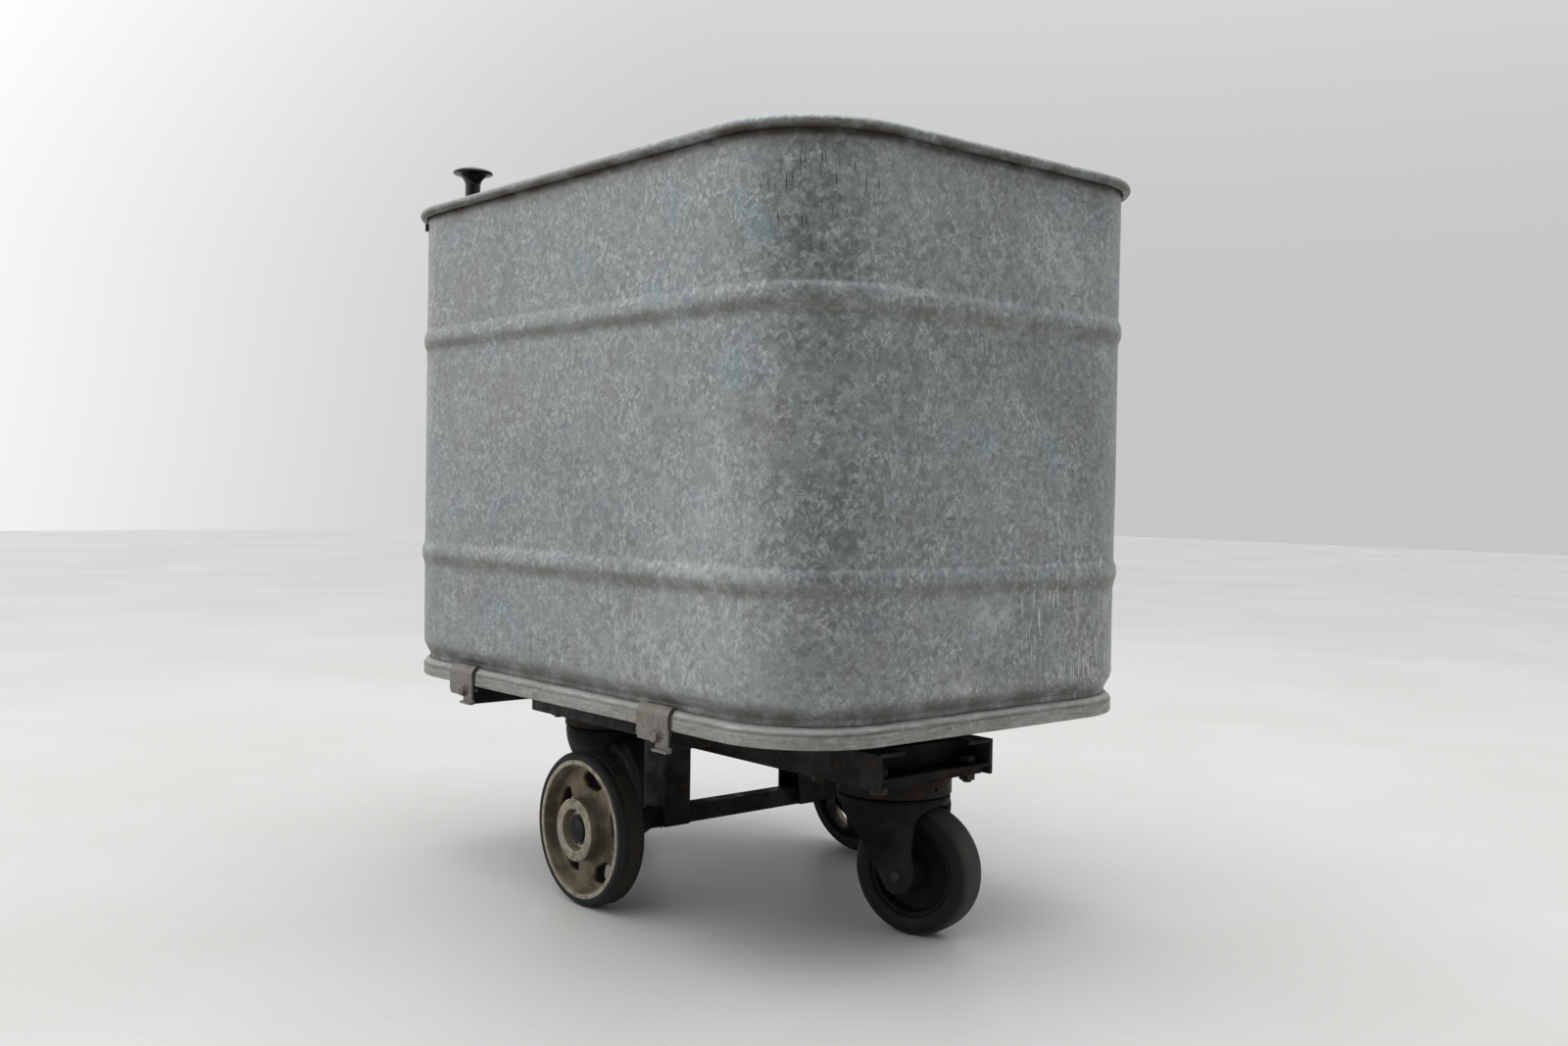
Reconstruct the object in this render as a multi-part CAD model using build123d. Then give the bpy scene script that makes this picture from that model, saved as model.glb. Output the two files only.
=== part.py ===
from build123d import *
import math
import os

# Galvanised tub trolley, in millimetres.
# +X runs along the tub, +Z is up, and the origin is on the floor under the middle of the tub.
# "Right" is the -Y side and "left" the +Y side, as seen facing +X.

# --- Tub: one sheet with two swaged beads, a wired rim, a necked base, a chime and a floor ---
TUB_LENGTH = 920.0
TUB_WIDTH = 618.0
TUB_CORNER = 128.0
SHEET = 1.5
TUB_BASE_Z = 268.0
RIM_TOP_Z = 945.0
BEAD_CENTRES_Z = (448.0, 756.0)
BEAD_PROUD = 4.0
BEAD_HALF = 15.0
WIRE_RADIUS = 4.8
WIRE_GAP = 0.2
ROLL_END_DEG = -115.0
NECK_DEPTH = 9.0
NECK_Z = TUB_BASE_Z + 26.5
NECK_RISE = 17.5
CHIME_SHEET = 2.0
CHIME_LIP = 8.0
FLOOR_Z = 276.0
FLOOR_SHEET = 2.0

# --- Undercarriage: two rails, two cross members and two axle legs, all rolled steel sections ---
UNDER_X = -17.0
RAIL_LENGTH = 780.0
RAIL_LEG = 45.0
RAIL_THICK = 5.0
RAIL_FACE_Y = 100.0
RAIL_BASE_Z = 193.0
CROSS_LEG = 30.0
CROSS_THICK = 4.0
CROSS_SPREAD = 228.5
CROSS_HALF = 304.0
LUG_THICK = 5.2
LEG_WIDTH = 50.0
LEG_DEPTH = 42.0
LEG_THICK = 5.0
LEG_BASE_Z = 90.0

# --- Clips that hook the chime to the cross members ---
CLIP_WIDTH = 62.0
CLIP_THICK = 3.0
CLIP_GAP = 0.2
CLIP_BOLT_AHEAD = 8.0
CLIP_BOLT_Z = 260.0

# --- Fixed wheels on the cross axle ---
WHEEL_RADIUS = 100.0
WHEEL_WIDTH = 38.0
WHEEL_MID_Y = 245.0
WHEEL_RIM_RADIUS = 90.0
AXLE_SQUARE = 24.0
STUB_RADIUS = 16.0
HUB_RADIUS = 41.0
HUB_INNER_Y = 222.0
HUB_OUTER_Y = 271.0
HUB_RECESS_RADIUS = 27.0
HUB_RECESS = 12.0
BUSH_WALL = 4.0
WINDOW_COUNT = 5
WHEEL_REST_DEG = 6.0
RUNNING = 0.05
FACE_GAP = 0.3

# --- Swivel casters, one at each end ---
SWIVEL_SPREAD = 315.0
SWIVEL_REST_DEG = {"front": 14.0, "rear": -2.0}
TRAIL = 37.0
CASTER_RADIUS = 80.0
CASTER_HALF = 25.0
CASTER_RIM_RADIUS = 56.0
CASTER_HUB_RADIUS = 19.5
CASTER_HUB_HALF = 46.0
CROWN_RADIUS = 71.0
CROWN_TOP_Z = 172.0
CROWN_THICK = 6.0
FORK_THICK = 5.0
FORK_INNER_Y = 49.0
FORK_BEND_Z = 112.0
KINGPIN_RADIUS = 8.0
PLATE_Z = 195.0
PLATE_THICK = 8.0
PLATE_HALF_X = 70.0
PLATE_HALF_Y = 92.0
PLATE_BOLT_X = 52.0
PLATE_BOLT_Y = {1: 78.0, -1: 66.0}
RACE_RADIUS = 57.0
BALL_RADIUS = 5.0
BALL_COUNT = 24
SLEEVE_RADIUS = 10.0

# --- Drain plug with a lift rod and knob in the rear right corner ---
LIFT_BEARING_DEG = 243.0
LIFT_RADIUS = 65.0
DRAIN_BORE = 16.0
SPIGOT_RADIUS = 19.0
SPIGOT_END_Z = 255.0
ROD_RADIUS = 5.0
GUIDE_Z = 936.0
KNOB_BASE_Z = 941.0
KNOB_TOP_Z = 1014.0

HALF_L = TUB_LENGTH / 2
HALF_W = TUB_WIDTH / 2
RAIL_TOP_Z = RAIL_BASE_Z + RAIL_LEG
LIFT_CENTRE_X = -(HALF_L - TUB_CORNER)
LIFT_CENTRE_Y = -(HALF_W - TUB_CORNER)
SIDES = {"right": -1, "left": 1}
ENDS = {"rear": -1, "front": 1}


# ---------------------------------------------------------------- shape helpers

def block(x0, x1, y0, y1, z0, z1):
    """Box between two corners."""
    box = Box(abs(x1 - x0), abs(y1 - y0), abs(z1 - z0))
    return Pos((x0 + x1) / 2, (y0 + y1) / 2, (z0 + z1) / 2) * box


def disc(radius, z0, z1, bore=0.0):
    """Upright cylinder from z0 to z1, with an optional bore."""
    body = Pos(0, 0, (z0 + z1) / 2) * Cylinder(radius, z1 - z0)
    if bore:
        body -= Pos(0, 0, (z0 + z1) / 2) * Cylinder(bore, z1 - z0 + 2)
    return body


def hexagon(across_flats, z0, z1, bore=0.0):
    """Upright hexagonal prism from z0 to z1, with an optional bore."""
    corner = across_flats / math.sqrt(3)
    body = Pos(0, 0, z0) * extrude(RegularPolygon(corner, 6), z1 - z0)
    if bore:
        body -= disc(bore, z0 - 1, z1 + 1)
    return body


def turned(points):
    """Solid of revolution about Z from (radius, z) points."""
    face = make_face(Plane.XZ * Polyline(*points, close=True))
    return revolve(face, Axis.Z)


def on_y(shape, x, y, z, side):
    """Turn an upright shape so that its +Z points outwards along side * Y, and move it."""
    return Pos(x, y, z) * Rot(-90 * side, 0, 0) * shape


def bolt(radius, across_flats, head, length):
    """Hexagon bolt: head above z = 0, shank below."""
    return hexagon(across_flats, 0, head) + disc(radius, -length, 0)


def profile(edges):
    """Face in the XZ plane from edges drawn as (outward, up)."""
    return make_face([Plane.XZ * edge for edge in edges])


def round_the_tub(section):
    """Carry a section, drawn as (outward from the wall line, up), once round the tub."""
    pieces = []
    centre_x = HALF_L - TUB_CORNER
    centre_y = HALF_W - TUB_CORNER
    corner_signs = ((1, 1), (-1, 1), (-1, -1), (1, -1))
    for quarter, (sign_x, sign_y) in enumerate(corner_signs):
        turn = Rot(0, 0, 90 * quarter)
        reach = HALF_W if quarter % 2 else HALF_L
        half_run = centre_x if quarter % 2 else centre_y
        side = extrude(Pos(reach, 0, 0) * section, half_run, both=True)
        pieces.append(turn * side)
        at_corner = Pos(sign_x * centre_x, sign_y * centre_y, 0)
        start = at_corner * turn * Pos(TUB_CORNER, 0, 0) * section
        axis = Axis((sign_x * centre_x, sign_y * centre_y, 0), (0, 0, 1))
        pieces.append(revolve(start, axis, 90))
    return pieces[0].fuse(*pieces[1:]).clean()


# ---------------------------------------------------------------- tub

def bead_edges(out, z_mid):
    """One outward bead as three tangent arcs, from below to above."""
    radius = (BEAD_HALF ** 2 + BEAD_PROUD ** 2) / (4 * BEAD_PROUD)
    half_turn = math.asin(BEAD_HALF / 2 / radius) / 2
    foot = (out + radius * (1 - math.cos(half_turn)), BEAD_HALF - radius * math.sin(half_turn))
    ends = [(out, z_mid - BEAD_HALF), (out + BEAD_PROUD / 2, z_mid - BEAD_HALF / 2)]
    ends += [(out + BEAD_PROUD / 2, z_mid + BEAD_HALF / 2), (out, z_mid + BEAD_HALF)]
    lower = ThreePointArc(ends[0], (foot[0], z_mid - foot[1]), ends[1])
    crown = ThreePointArc(ends[1], (out + BEAD_PROUD, z_mid), ends[2])
    upper = ThreePointArc(ends[2], (foot[0], z_mid + foot[1]), ends[3])
    return [lower, crown, upper]


def wall_line(out, roll_z):
    """One face of the wall sheet: base, neck, then beads up to the start of the rim roll."""
    neck_in = (out - NECK_DEPTH, NECK_Z)
    neck_out = (out, NECK_Z + NECK_RISE)
    edges = [Line((out - NECK_DEPTH, TUB_BASE_Z + 4), neck_in)]
    edges.append(RadiusArc(neck_in, neck_out, neck_radius()))
    start = neck_out
    for z_mid in BEAD_CENTRES_Z:
        edges.append(Line(start, (out, z_mid - BEAD_HALF)))
        edges += bead_edges(out, z_mid)
        start = (out, z_mid + BEAD_HALF)
    edges.append(Line(start, (out, roll_z)))
    return edges


def neck_radius():
    """Radius of the neck's curve, upright where it meets the wall."""
    return (NECK_DEPTH ** 2 + NECK_RISE ** 2) / (2 * NECK_DEPTH)


def roll_centre():
    """Centre of the rim wire, as (outward, up)."""
    inner = WIRE_RADIUS + WIRE_GAP
    return (inner, RIM_TOP_Z - inner - SHEET)


def roll_arc(radius):
    """Part of a circle round the rim wire, from the wall over the top to the tucked edge."""
    out, up = roll_centre()
    end = math.radians(ROLL_END_DEG)
    middle = math.radians((180 + ROLL_END_DEG) / 2)
    finish = (out + radius * math.cos(end), up + radius * math.sin(end))
    via = (out + radius * math.cos(middle), up + radius * math.sin(middle))
    return ThreePointArc((out - radius, up), via, finish)


def tub_wall():
    roll_z = roll_centre()[1]
    inner_roll = WIRE_RADIUS + WIRE_GAP
    outer = wall_line(0.0, roll_z) + [roll_arc(inner_roll)]
    inner = wall_line(-SHEET, roll_z) + [roll_arc(inner_roll + SHEET)]
    base = Line(outer[0] @ 0, inner[0] @ 0)
    tuck = Line(outer[-1] @ 1, inner[-1] @ 1)
    wall = round_the_tub(profile(outer + inner + [base, tuck]))
    hole = on_lift_bearing(Pos(TUB_CORNER, 0, GUIDE_Z - 14) * Rot(0, 90, 0) * Cylinder(4.5, 12))
    return wall - hole


def rim_wire():
    out, up = roll_centre()
    return round_the_tub(Plane.XZ * Pos(out, up) * Circle(WIRE_RADIUS))


def tub_floor():
    inset = NECK_DEPTH + SHEET
    outline = RectangleRounded(TUB_LENGTH - 2 * inset, TUB_WIDTH - 2 * inset, TUB_CORNER - inset)
    plate = Pos(0, 0, FLOOR_Z) * extrude(outline, FLOOR_SHEET)
    return plate - lift_axis(disc(21.5, FLOOR_Z - 1, FLOOR_Z + FLOOR_SHEET + 1))


def chime_hoop():
    """Rounded foot band under the neck, with a lip turned in underneath."""
    base = TUB_BASE_Z
    points = [(-NECK_DEPTH, base + 25.5), (-2.5, base + 20.5), (0, base + 16.5), (0, base)]
    points += [(-CHIME_LIP, base), (-CHIME_LIP, base + CHIME_SHEET), (-CHIME_SHEET, base + CHIME_SHEET)]
    points += [(-CHIME_SHEET, base + 15.8), (-3.8, base + 18.8), (-NECK_DEPTH, base + 22.8)]
    return round_the_tub(make_face(Plane.XZ * Polyline(*points, close=True)))


# ---------------------------------------------------------------- undercarriage

def rail(side):
    """Angle iron with its upright leg outside and its flat leg on top, turned inwards."""
    x0 = UNDER_X - RAIL_LENGTH / 2
    x1 = UNDER_X + RAIL_LENGTH / 2
    face = side * RAIL_FACE_Y
    upright = block(x0, x1, face - side * RAIL_THICK, face, RAIL_BASE_Z, RAIL_TOP_Z)
    flat = block(x0, x1, face - side * RAIL_LEG, face, RAIL_TOP_Z - RAIL_THICK, RAIL_TOP_Z)
    return upright + flat


def cross_face_x(end):
    """X of the cross member's upright face."""
    return UNDER_X + end * CROSS_SPREAD


def cross_member(end):
    """Angle iron across the rails, with a bolting lug welded to each end."""
    x0 = cross_face_x(end)
    body = block(x0 - CROSS_THICK, x0, -CROSS_HALF, CROSS_HALF, RAIL_TOP_Z, TUB_BASE_Z)
    body += block(x0 - CROSS_LEG, x0, -CROSS_HALF, CROSS_HALF,
                  TUB_BASE_Z - CROSS_THICK, TUB_BASE_Z)
    for side in SIDES.values():
        near = side * CROSS_HALF
        lug = block(x0 - 30, x0 + 26, near, near + side * LUG_THICK, TUB_BASE_Z - 16, TUB_BASE_Z)
        lug -= on_y(disc(4.4, -12, 12), x0 + CLIP_BOLT_AHEAD, near, CLIP_BOLT_Z, side)
        body += lug
    return body


def clip(end, side):
    """Pressed clip: hooks over the chime, lies on its face and ends in a lip turned out."""
    x0 = cross_face_x(end)
    face = CLIP_GAP
    base = TUB_BASE_Z
    hook = [(face, base - 18), (face, base + 17), (-2.1, base + 21.2), (-6.6, base + 24.7),
            (-5.2, base + 27.3), (-0.4, base + 23.8), (face + CLIP_THICK, base + 18),
            (face + CLIP_THICK, base - 18)]
    tab = [(face, base - 18), (face, base - 25), (8.6, base - 25), (8.6, base - 22),
           (face + CLIP_THICK, base - 22), (face + CLIP_THICK, base - 18)]
    body = clip_slice(hook, x0 - 32, x0 - 32 + CLIP_WIDTH, side)
    body += clip_slice(tab, x0 + 4, x0 + 44 - 14, side)
    body -= on_y(disc(4.4, -12, 12), x0 + CLIP_BOLT_AHEAD, side * HALF_W, CLIP_BOLT_Z, side)
    corner = Pos(x0 - 32, side * HALF_W, base - 18) * Rot(0, 45, 0) * Box(14, 24, 14)
    return body - corner


def clip_slice(points, x0, x1, side):
    """Extrude an (outward, up) outline along X on one side of the tub."""
    corners = [(side * (HALF_W + out), up) for out, up in points]
    outline = make_face(Plane.YZ * Polyline(*corners, close=True))
    return Pos(x0, 0, 0) * extrude(outline, x1 - x0, dir=(1, 0, 0))


def clip_fasteners():
    """Four bolts and four nuts that hold the clips to the lugs."""
    bolts = []
    nuts = []
    for end in ENDS.values():
        for side in SIDES.values():
            x = cross_face_x(end) + CLIP_BOLT_AHEAD
            face = side * (HALF_W + CLIP_GAP + CLIP_THICK)
            back = side * CROSS_HALF
            bolts.append(on_y(bolt(4.0, 13.0, 5.5, 20.0), x, face, CLIP_BOLT_Z, side))
            nuts.append(on_y(hexagon(13.0, -6.5, 0, 4.1), x, back, CLIP_BOLT_Z, side))
    return Compound(bolts), Compound(nuts)


def axle_leg(side):
    """Channel hung on the outside of a rail, open towards it, notched round the axle."""
    web = side * (RAIL_FACE_Y + LEG_DEPTH)
    toe = side * RAIL_FACE_Y
    half = LEG_WIDTH / 2
    body = block(UNDER_X - half, UNDER_X + half, toe, web, LEG_BASE_Z, RAIL_TOP_Z)
    inside = half - LEG_THICK
    body -= block(UNDER_X - inside, UNDER_X + inside, toe - side, web - side * LEG_THICK,
                  LEG_BASE_Z - 1, RAIL_TOP_Z + 1)
    notch = AXLE_SQUARE / 2
    top = WHEEL_RADIUS + notch
    return body - block(UNDER_X - notch, UNDER_X + notch, toe, web + side, LEG_BASE_Z - 1, top)


def axle_beam():
    """Square bar across the trolley with a turned stub at each end."""
    shoulder = HUB_INNER_Y - 8
    half = AXLE_SQUARE / 2
    beam = block(UNDER_X - half, UNDER_X + half, -shoulder, shoulder,
                 WHEEL_RADIUS - half, WHEEL_RADIUS + half)
    for side in SIDES.values():
        stub = disc(STUB_RADIUS, 0, 52)
        stub -= disc(STUB_RADIUS + 1, 47.7, 49.2, STUB_RADIUS - 1.2)
        beam += on_y(stub, UNDER_X, side * shoulder, WHEEL_RADIUS, side)
    return beam


def axle_washers():
    """A spacer inside each hub and a washer in each hub recess."""
    rings = []
    floor_y = HUB_OUTER_Y - HUB_RECESS
    for side in SIDES.values():
        spacer = disc(26.0, 0, 8 - FACE_GAP, STUB_RADIUS + 0.1)
        washer = disc(24.0, FACE_GAP, 2.6, STUB_RADIUS + 0.1)
        rings.append(on_y(spacer, UNDER_X, side * (HUB_INNER_Y - 8), WHEEL_RADIUS, side))
        rings.append(on_y(washer, UNDER_X, side * floor_y, WHEEL_RADIUS, side))
    return Compound(rings)


def axle_circlips():
    """Open spring rings in the grooves at the axle ends."""
    rings = []
    for side in SIDES.values():
        ring = disc(STUB_RADIUS + 4, 47.75, 49.15, STUB_RADIUS - 1.15)
        ring -= block(-3, 3, -30, 0, 40, 60)
        rings.append(on_y(ring, UNDER_X, side * (HUB_INNER_Y - 8), WHEEL_RADIUS, side))
    return Compound(rings)


# ---------------------------------------------------------------- fixed wheels

def place_wheel(shape, side):
    """Put a wheel part, turned about Z with z = 0 at mid width, on the axle."""
    return on_y(shape, UNDER_X, side * WHEEL_MID_Y, WHEEL_RADIUS, side)


def wheel_centre(side):
    """Cast centre: rim, dished web with five windows and a long hub with an outer recess."""
    half = WHEEL_WIDTH / 2
    rim = WHEEL_RIM_RADIUS
    z_in = HUB_INNER_Y - WHEEL_MID_Y
    z_out = HUB_OUTER_Y - WHEEL_MID_Y
    bore = STUB_RADIUS + BUSH_WALL
    web_back = -6.0
    web_front = 2.0
    points = [(bore, z_in), (HUB_RADIUS - 4, z_in), (HUB_RADIUS + 2, web_back), (77, web_back)]
    points += [(83, -half), (rim, -half), (rim, half), (83, half), (78, web_front)]
    points += [(HUB_RADIUS + 6, web_front), (HUB_RADIUS, web_front + 8), (HUB_RADIUS, z_out)]
    points += [(HUB_RECESS_RADIUS, z_out), (HUB_RECESS_RADIUS, z_out - HUB_RECESS)]
    points += [(bore, z_out - HUB_RECESS)]
    body = turned(points)
    window = [(-13, 48), (13, 48), (23, 61), (19, 70), (10, 75), (-10, 75), (-19, 70), (-23, 61)]
    cutter = Pos(0, 0, -12) * extrude(make_face(Polyline(*window, close=True)), 24)
    for number in range(WINDOW_COUNT):
        body -= Rot(0, 0, 360 / WINDOW_COUNT * number - WHEEL_REST_DEG) * cutter
    return place_wheel(body, side)


def wheel_bush(side):
    z_in = HUB_INNER_Y - WHEEL_MID_Y
    z_out = HUB_OUTER_Y - WHEEL_MID_Y - HUB_RECESS
    bush = disc(STUB_RADIUS + BUSH_WALL, z_in, z_out, STUB_RADIUS + RUNNING)
    return place_wheel(bush, side)


def wheel_tyre(side):
    """Solid rubber band with rounded shoulders and one shallow groove."""
    half = WHEEL_WIDTH / 2
    top = WHEEL_RADIUS
    inner = WHEEL_RIM_RADIUS
    points = [(inner, -half), (top - 5, -half), (top - 1.5, -half + 1.5), (top, -half + 5)]
    points += [(top, 4), (top - 1.2, 5), (top - 1.2, 7), (top, 8), (top, half - 5)]
    points += [(top - 1.5, half - 1.5), (top - 5, half), (inner, half)]
    return place_wheel(turned(points), side)


# ---------------------------------------------------------------- casters

def swivel_x(end):
    return UNDER_X + end * SWIVEL_SPREAD


def fixed_on_swivel(shape, end):
    """Place a part of the fixed half of a caster on its swivel axis."""
    return Pos(swivel_x(end), 0, 0) * shape


def turning_on_swivel(shape, end):
    """Place a part of the turning half of a caster at its rest angle."""
    name = "front" if end > 0 else "rear"
    return Pos(swivel_x(end), 0, 0) * Rot(0, 0, SWIVEL_REST_DEG[name]) * shape


def caster_bearers(end):
    """Two short angles between the rails that carry a caster's top plate."""
    bars = []
    for way in (-1, 1):
        inner = swivel_x(end) + way * 29
        outer = swivel_x(end) + way * 74
        z0 = PLATE_Z + PLATE_THICK
        reach = RAIL_FACE_Y - RAIL_THICK
        bar = block(inner, outer, -reach, reach, z0, z0 + RAIL_THICK)
        bar += block(inner, inner + way * RAIL_THICK, -reach, reach, z0, RAIL_TOP_Z - RAIL_THICK)
        for side in SIDES.values():
            hole = disc(6.5, z0 - 1, z0 + 8)
            bar -= Pos(swivel_x(end) + way * PLATE_BOLT_X, side * PLATE_BOLT_Y[end], 0) * hole
        bars.append(bar)
    return Compound(bars)


def top_plate(end):
    """Caster top plate, one piece with its race housing and its kingpin boss."""
    plate = Box(2 * PLATE_HALF_X, 2 * PLATE_HALF_Y, PLATE_THICK)
    plate = fillet(plate.edges().filter_by(Axis.Z), 10)
    body = Pos(0, 0, PLATE_Z + PLATE_THICK / 2) * plate
    body += disc(72.5, CROWN_TOP_Z + 2, PLATE_Z, 66.0)
    body += disc(66.0, race_top_z(), PLATE_Z)
    body += disc(46.0, PLATE_Z - 15, PLATE_Z)
    body -= disc(KINGPIN_RADIUS + RUNNING, PLATE_Z - 30, PLATE_Z + 30)
    body -= Pos(69, 0, PLATE_Z - 10) * Rot(0, 90, 0) * Cylinder(2.5, 12)
    for way in (-1, 1):
        for side in SIDES.values():
            hole = disc(6.5, PLATE_Z - 1, PLATE_Z + PLATE_THICK + 1)
            body -= Pos(way * PLATE_BOLT_X, side * PLATE_BOLT_Y[end], 0) * hole
    return fixed_on_swivel(body, end)


def race_floor_z():
    return CROWN_TOP_Z + 7


def race_top_z():
    return race_floor_z() + 2 * BALL_RADIUS + FACE_GAP


def plate_fasteners():
    """Eight bolts down through the bearers and plates, and their nuts underneath."""
    bolts = []
    nuts = []
    for end in ENDS.values():
        for way in (-1, 1):
            for side in SIDES.values():
                spot = Pos(swivel_x(end) + way * PLATE_BOLT_X, side * PLATE_BOLT_Y[end], 0)
                top = PLATE_Z + PLATE_THICK + RAIL_THICK
                bolts.append(spot * Pos(0, 0, top) * bolt(6.0, 19.0, 8.0, top - PLATE_Z + 13))
                nuts.append(spot * hexagon(19.0, PLATE_Z - 10, PLATE_Z, 6.1))
    return Compound(bolts), Compound(nuts)


def fork_leg(side):
    """Sheet leg that leaves the round crown as an arc and flattens towards the axle."""
    front_deg = 25.0
    rear_deg = 130.0
    outer = CROWN_RADIUS
    inner = CROWN_RADIUS - FORK_THICK
    lip_z = CROWN_TOP_Z - 10
    mid_deg = (front_deg + rear_deg) / 2
    arc_out = CenterArc((0, 0), outer, side * front_deg, side * (rear_deg - front_deg))
    arc_in = CenterArc((0, 0), inner, side * front_deg, side * (rear_deg - front_deg))
    ends = [Line(arc_out @ 0, arc_in @ 0), Line(arc_out @ 1, arc_in @ 1)]
    upper = Pos(0, 0, lip_z) * make_face([arc_out, arc_in] + ends)
    y_out = side * (FORK_INNER_Y + FORK_THICK)
    y_in = side * FORK_INNER_Y
    radius = 22.0
    rear_x = -9.0
    front_x = TRAIL + radius
    lower_points = [(front_x, y_out), (rear_x, y_out), (rear_x, y_in), (front_x, y_in)]
    lower = Pos(0, 0, FORK_BEND_Z) * make_face(Polyline(*lower_points, close=True))
    shoulder = loft([upper, lower], ruled=True)
    lean = math.atan2(TRAIL - rear_x, FORK_BEND_Z - CASTER_RADIUS)
    reach = math.hypot(TRAIL - rear_x, FORK_BEND_Z - CASTER_RADIUS)
    swing = lean + math.asin(radius / reach)
    touch = (TRAIL - radius * math.cos(swing), CASTER_RADIUS - radius * math.sin(swing))
    foot = (TRAIL + radius * math.sin(swing / 2), CASTER_RADIUS - radius * math.cos(swing / 2))
    edges = [Line((rear_x, FORK_BEND_Z), touch)]
    edges.append(ThreePointArc(touch, foot, (front_x, CASTER_RADIUS)))
    edges.append(Line((front_x, CASTER_RADIUS), (front_x, FORK_BEND_Z)))
    edges.append(Line((front_x, FORK_BEND_Z), (rear_x, FORK_BEND_Z)))
    outline = make_face([Plane.XZ * edge for edge in edges])
    blade = Pos(0, y_in, 0) * extrude(outline, FORK_THICK, dir=(0, side, 0))
    return shoulder + blade


def fork(end):
    """Pressed fork: round crown with a turned-down lip, race ring and two legs."""
    lip = CROWN_TOP_Z - 10
    body = disc(CROWN_RADIUS, CROWN_TOP_Z - CROWN_THICK, CROWN_TOP_Z)
    body += disc(CROWN_RADIUS, lip, CROWN_TOP_Z - CROWN_THICK, CROWN_RADIUS - FORK_THICK)
    body += disc(RACE_RADIUS + 7, CROWN_TOP_Z, race_floor_z(), RACE_RADIUS - 7)
    for side in SIDES.values():
        body += fork_leg(side)
    body -= disc(KINGPIN_RADIUS + 0.1, CROWN_TOP_Z - 20, CROWN_TOP_Z + 20)
    body -= Pos(TRAIL, 0, CASTER_RADIUS) * Rot(90, 0, 0) * Cylinder(6.2, 140)
    return turning_on_swivel(body, end)


def kingpin(end):
    body = disc(14.0, CROWN_TOP_Z - 12, CROWN_TOP_Z - CROWN_THICK)
    body += disc(KINGPIN_RADIUS, CROWN_TOP_Z - CROWN_THICK, PLATE_Z + 26)
    return turning_on_swivel(body, end)


def kingpin_nut(end):
    base = PLATE_Z + PLATE_THICK + FACE_GAP
    nut = hexagon(27.0, base, base + 12, KINGPIN_RADIUS + 0.1)
    return turning_on_swivel(nut, end)


def race_balls(end):
    """Ring of steel balls between the crown and the race housing."""
    balls = []
    for number in range(BALL_COUNT):
        spot = Rot(0, 0, 360 / BALL_COUNT * number) * Pos(RACE_RADIUS, 0, 0)
        balls.append(spot * Pos(0, 0, race_floor_z() + BALL_RADIUS) * Sphere(BALL_RADIUS))
    return turning_on_swivel(Compound(balls), end)


def on_caster_axle(shape):
    """Lay an upright shape on the caster's axle line, its +Z towards -Y."""
    return Pos(TRAIL, 0, CASTER_RADIUS) * Rot(90, 0, 0) * shape


def caster_axle_bolt(end):
    """Axle bolt through the fork and its nut on the far side."""
    reach = FORK_INNER_Y + FORK_THICK
    pin = Pos(0, 0, reach) * (disc(6.0, -2 * reach - 13, 0) + disc(7.5, 0, 4.0))
    nut = hexagon(18.0, -reach - 9, -reach, 6.1)
    return turning_on_swivel(Compound([on_caster_axle(pin), on_caster_axle(nut)]), end)


def caster_sleeve(end):
    sleeve = disc(SLEEVE_RADIUS, -FORK_INNER_Y, FORK_INNER_Y, 6.1)
    return turning_on_swivel(on_caster_axle(sleeve), end)


def thrust_washers(end):
    """Washers between the caster hub and the fork legs."""
    rings = []
    for z0, z1 in ((-48.8, -46.3), (46.3, 48.8)):
        rings.append(on_caster_axle(disc(18.0, z0, z1, SLEEVE_RADIUS + 0.1)))
    return turning_on_swivel(Compound(rings), end)


def caster_core(end):
    """Iron centre: plain disc web between a long hub and a narrow rim."""
    bore = SLEEVE_RADIUS + RUNNING
    hub = CASTER_HUB_RADIUS
    half = CASTER_HUB_HALF
    rim = CASTER_RIM_RADIUS
    points = [(bore, -half), (hub, -half), (hub + 4, -5), (rim - 6, -4), (rim - 5, -20), (rim, -20)]
    points += [(rim, 20), (rim - 5, 20), (rim - 6, 4), (hub + 4, 5), (hub, half), (bore, half)]
    return turning_on_swivel(on_caster_axle(turned(points)), end)


def caster_tyre(end):
    """Solid tyre with a crowned tread and rounded shoulders."""
    half = CASTER_HALF
    top = CASTER_RADIUS
    rim = CASTER_RIM_RADIUS
    flank = [(rim, 20), (rim + 2, half - 2), (top - 12, half), (top - 5, half - 3), (top - 1, half - 10)]
    points = [(radius, -z) for radius, z in flank] + [(top, -6), (top, 6)] + flank[::-1]
    return turning_on_swivel(on_caster_axle(turned(points)), end)


# ---------------------------------------------------------------- drain and its lift rod

def on_lift_bearing(shape):
    """Place a shape so that its +X points out through the tub's rear right corner."""
    return Pos(LIFT_CENTRE_X, LIFT_CENTRE_Y, 0) * Rot(0, 0, LIFT_BEARING_DEG) * shape


def lift_axis(shape):
    """Place an upright shape on the axis of the lift rod."""
    return on_lift_bearing(Pos(LIFT_RADIUS, 0, 0) * shape)


def drain_flange():
    """Turned outlet with a tapered seat, passing down through the floor to a hose spigot."""
    top = FLOOR_Z + FLOOR_SHEET + 4
    thread_end = FLOOR_Z - 10
    points = [(22, top), (33, top), (33, top - 2.5), (21, top - 2.5), (21, thread_end)]
    points += [(SPIGOT_RADIUS, thread_end), (SPIGOT_RADIUS, SPIGOT_END_Z)]
    points += [(DRAIN_BORE, SPIGOT_END_Z), (DRAIN_BORE, top - 6)]
    return lift_axis(turned(points))


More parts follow.
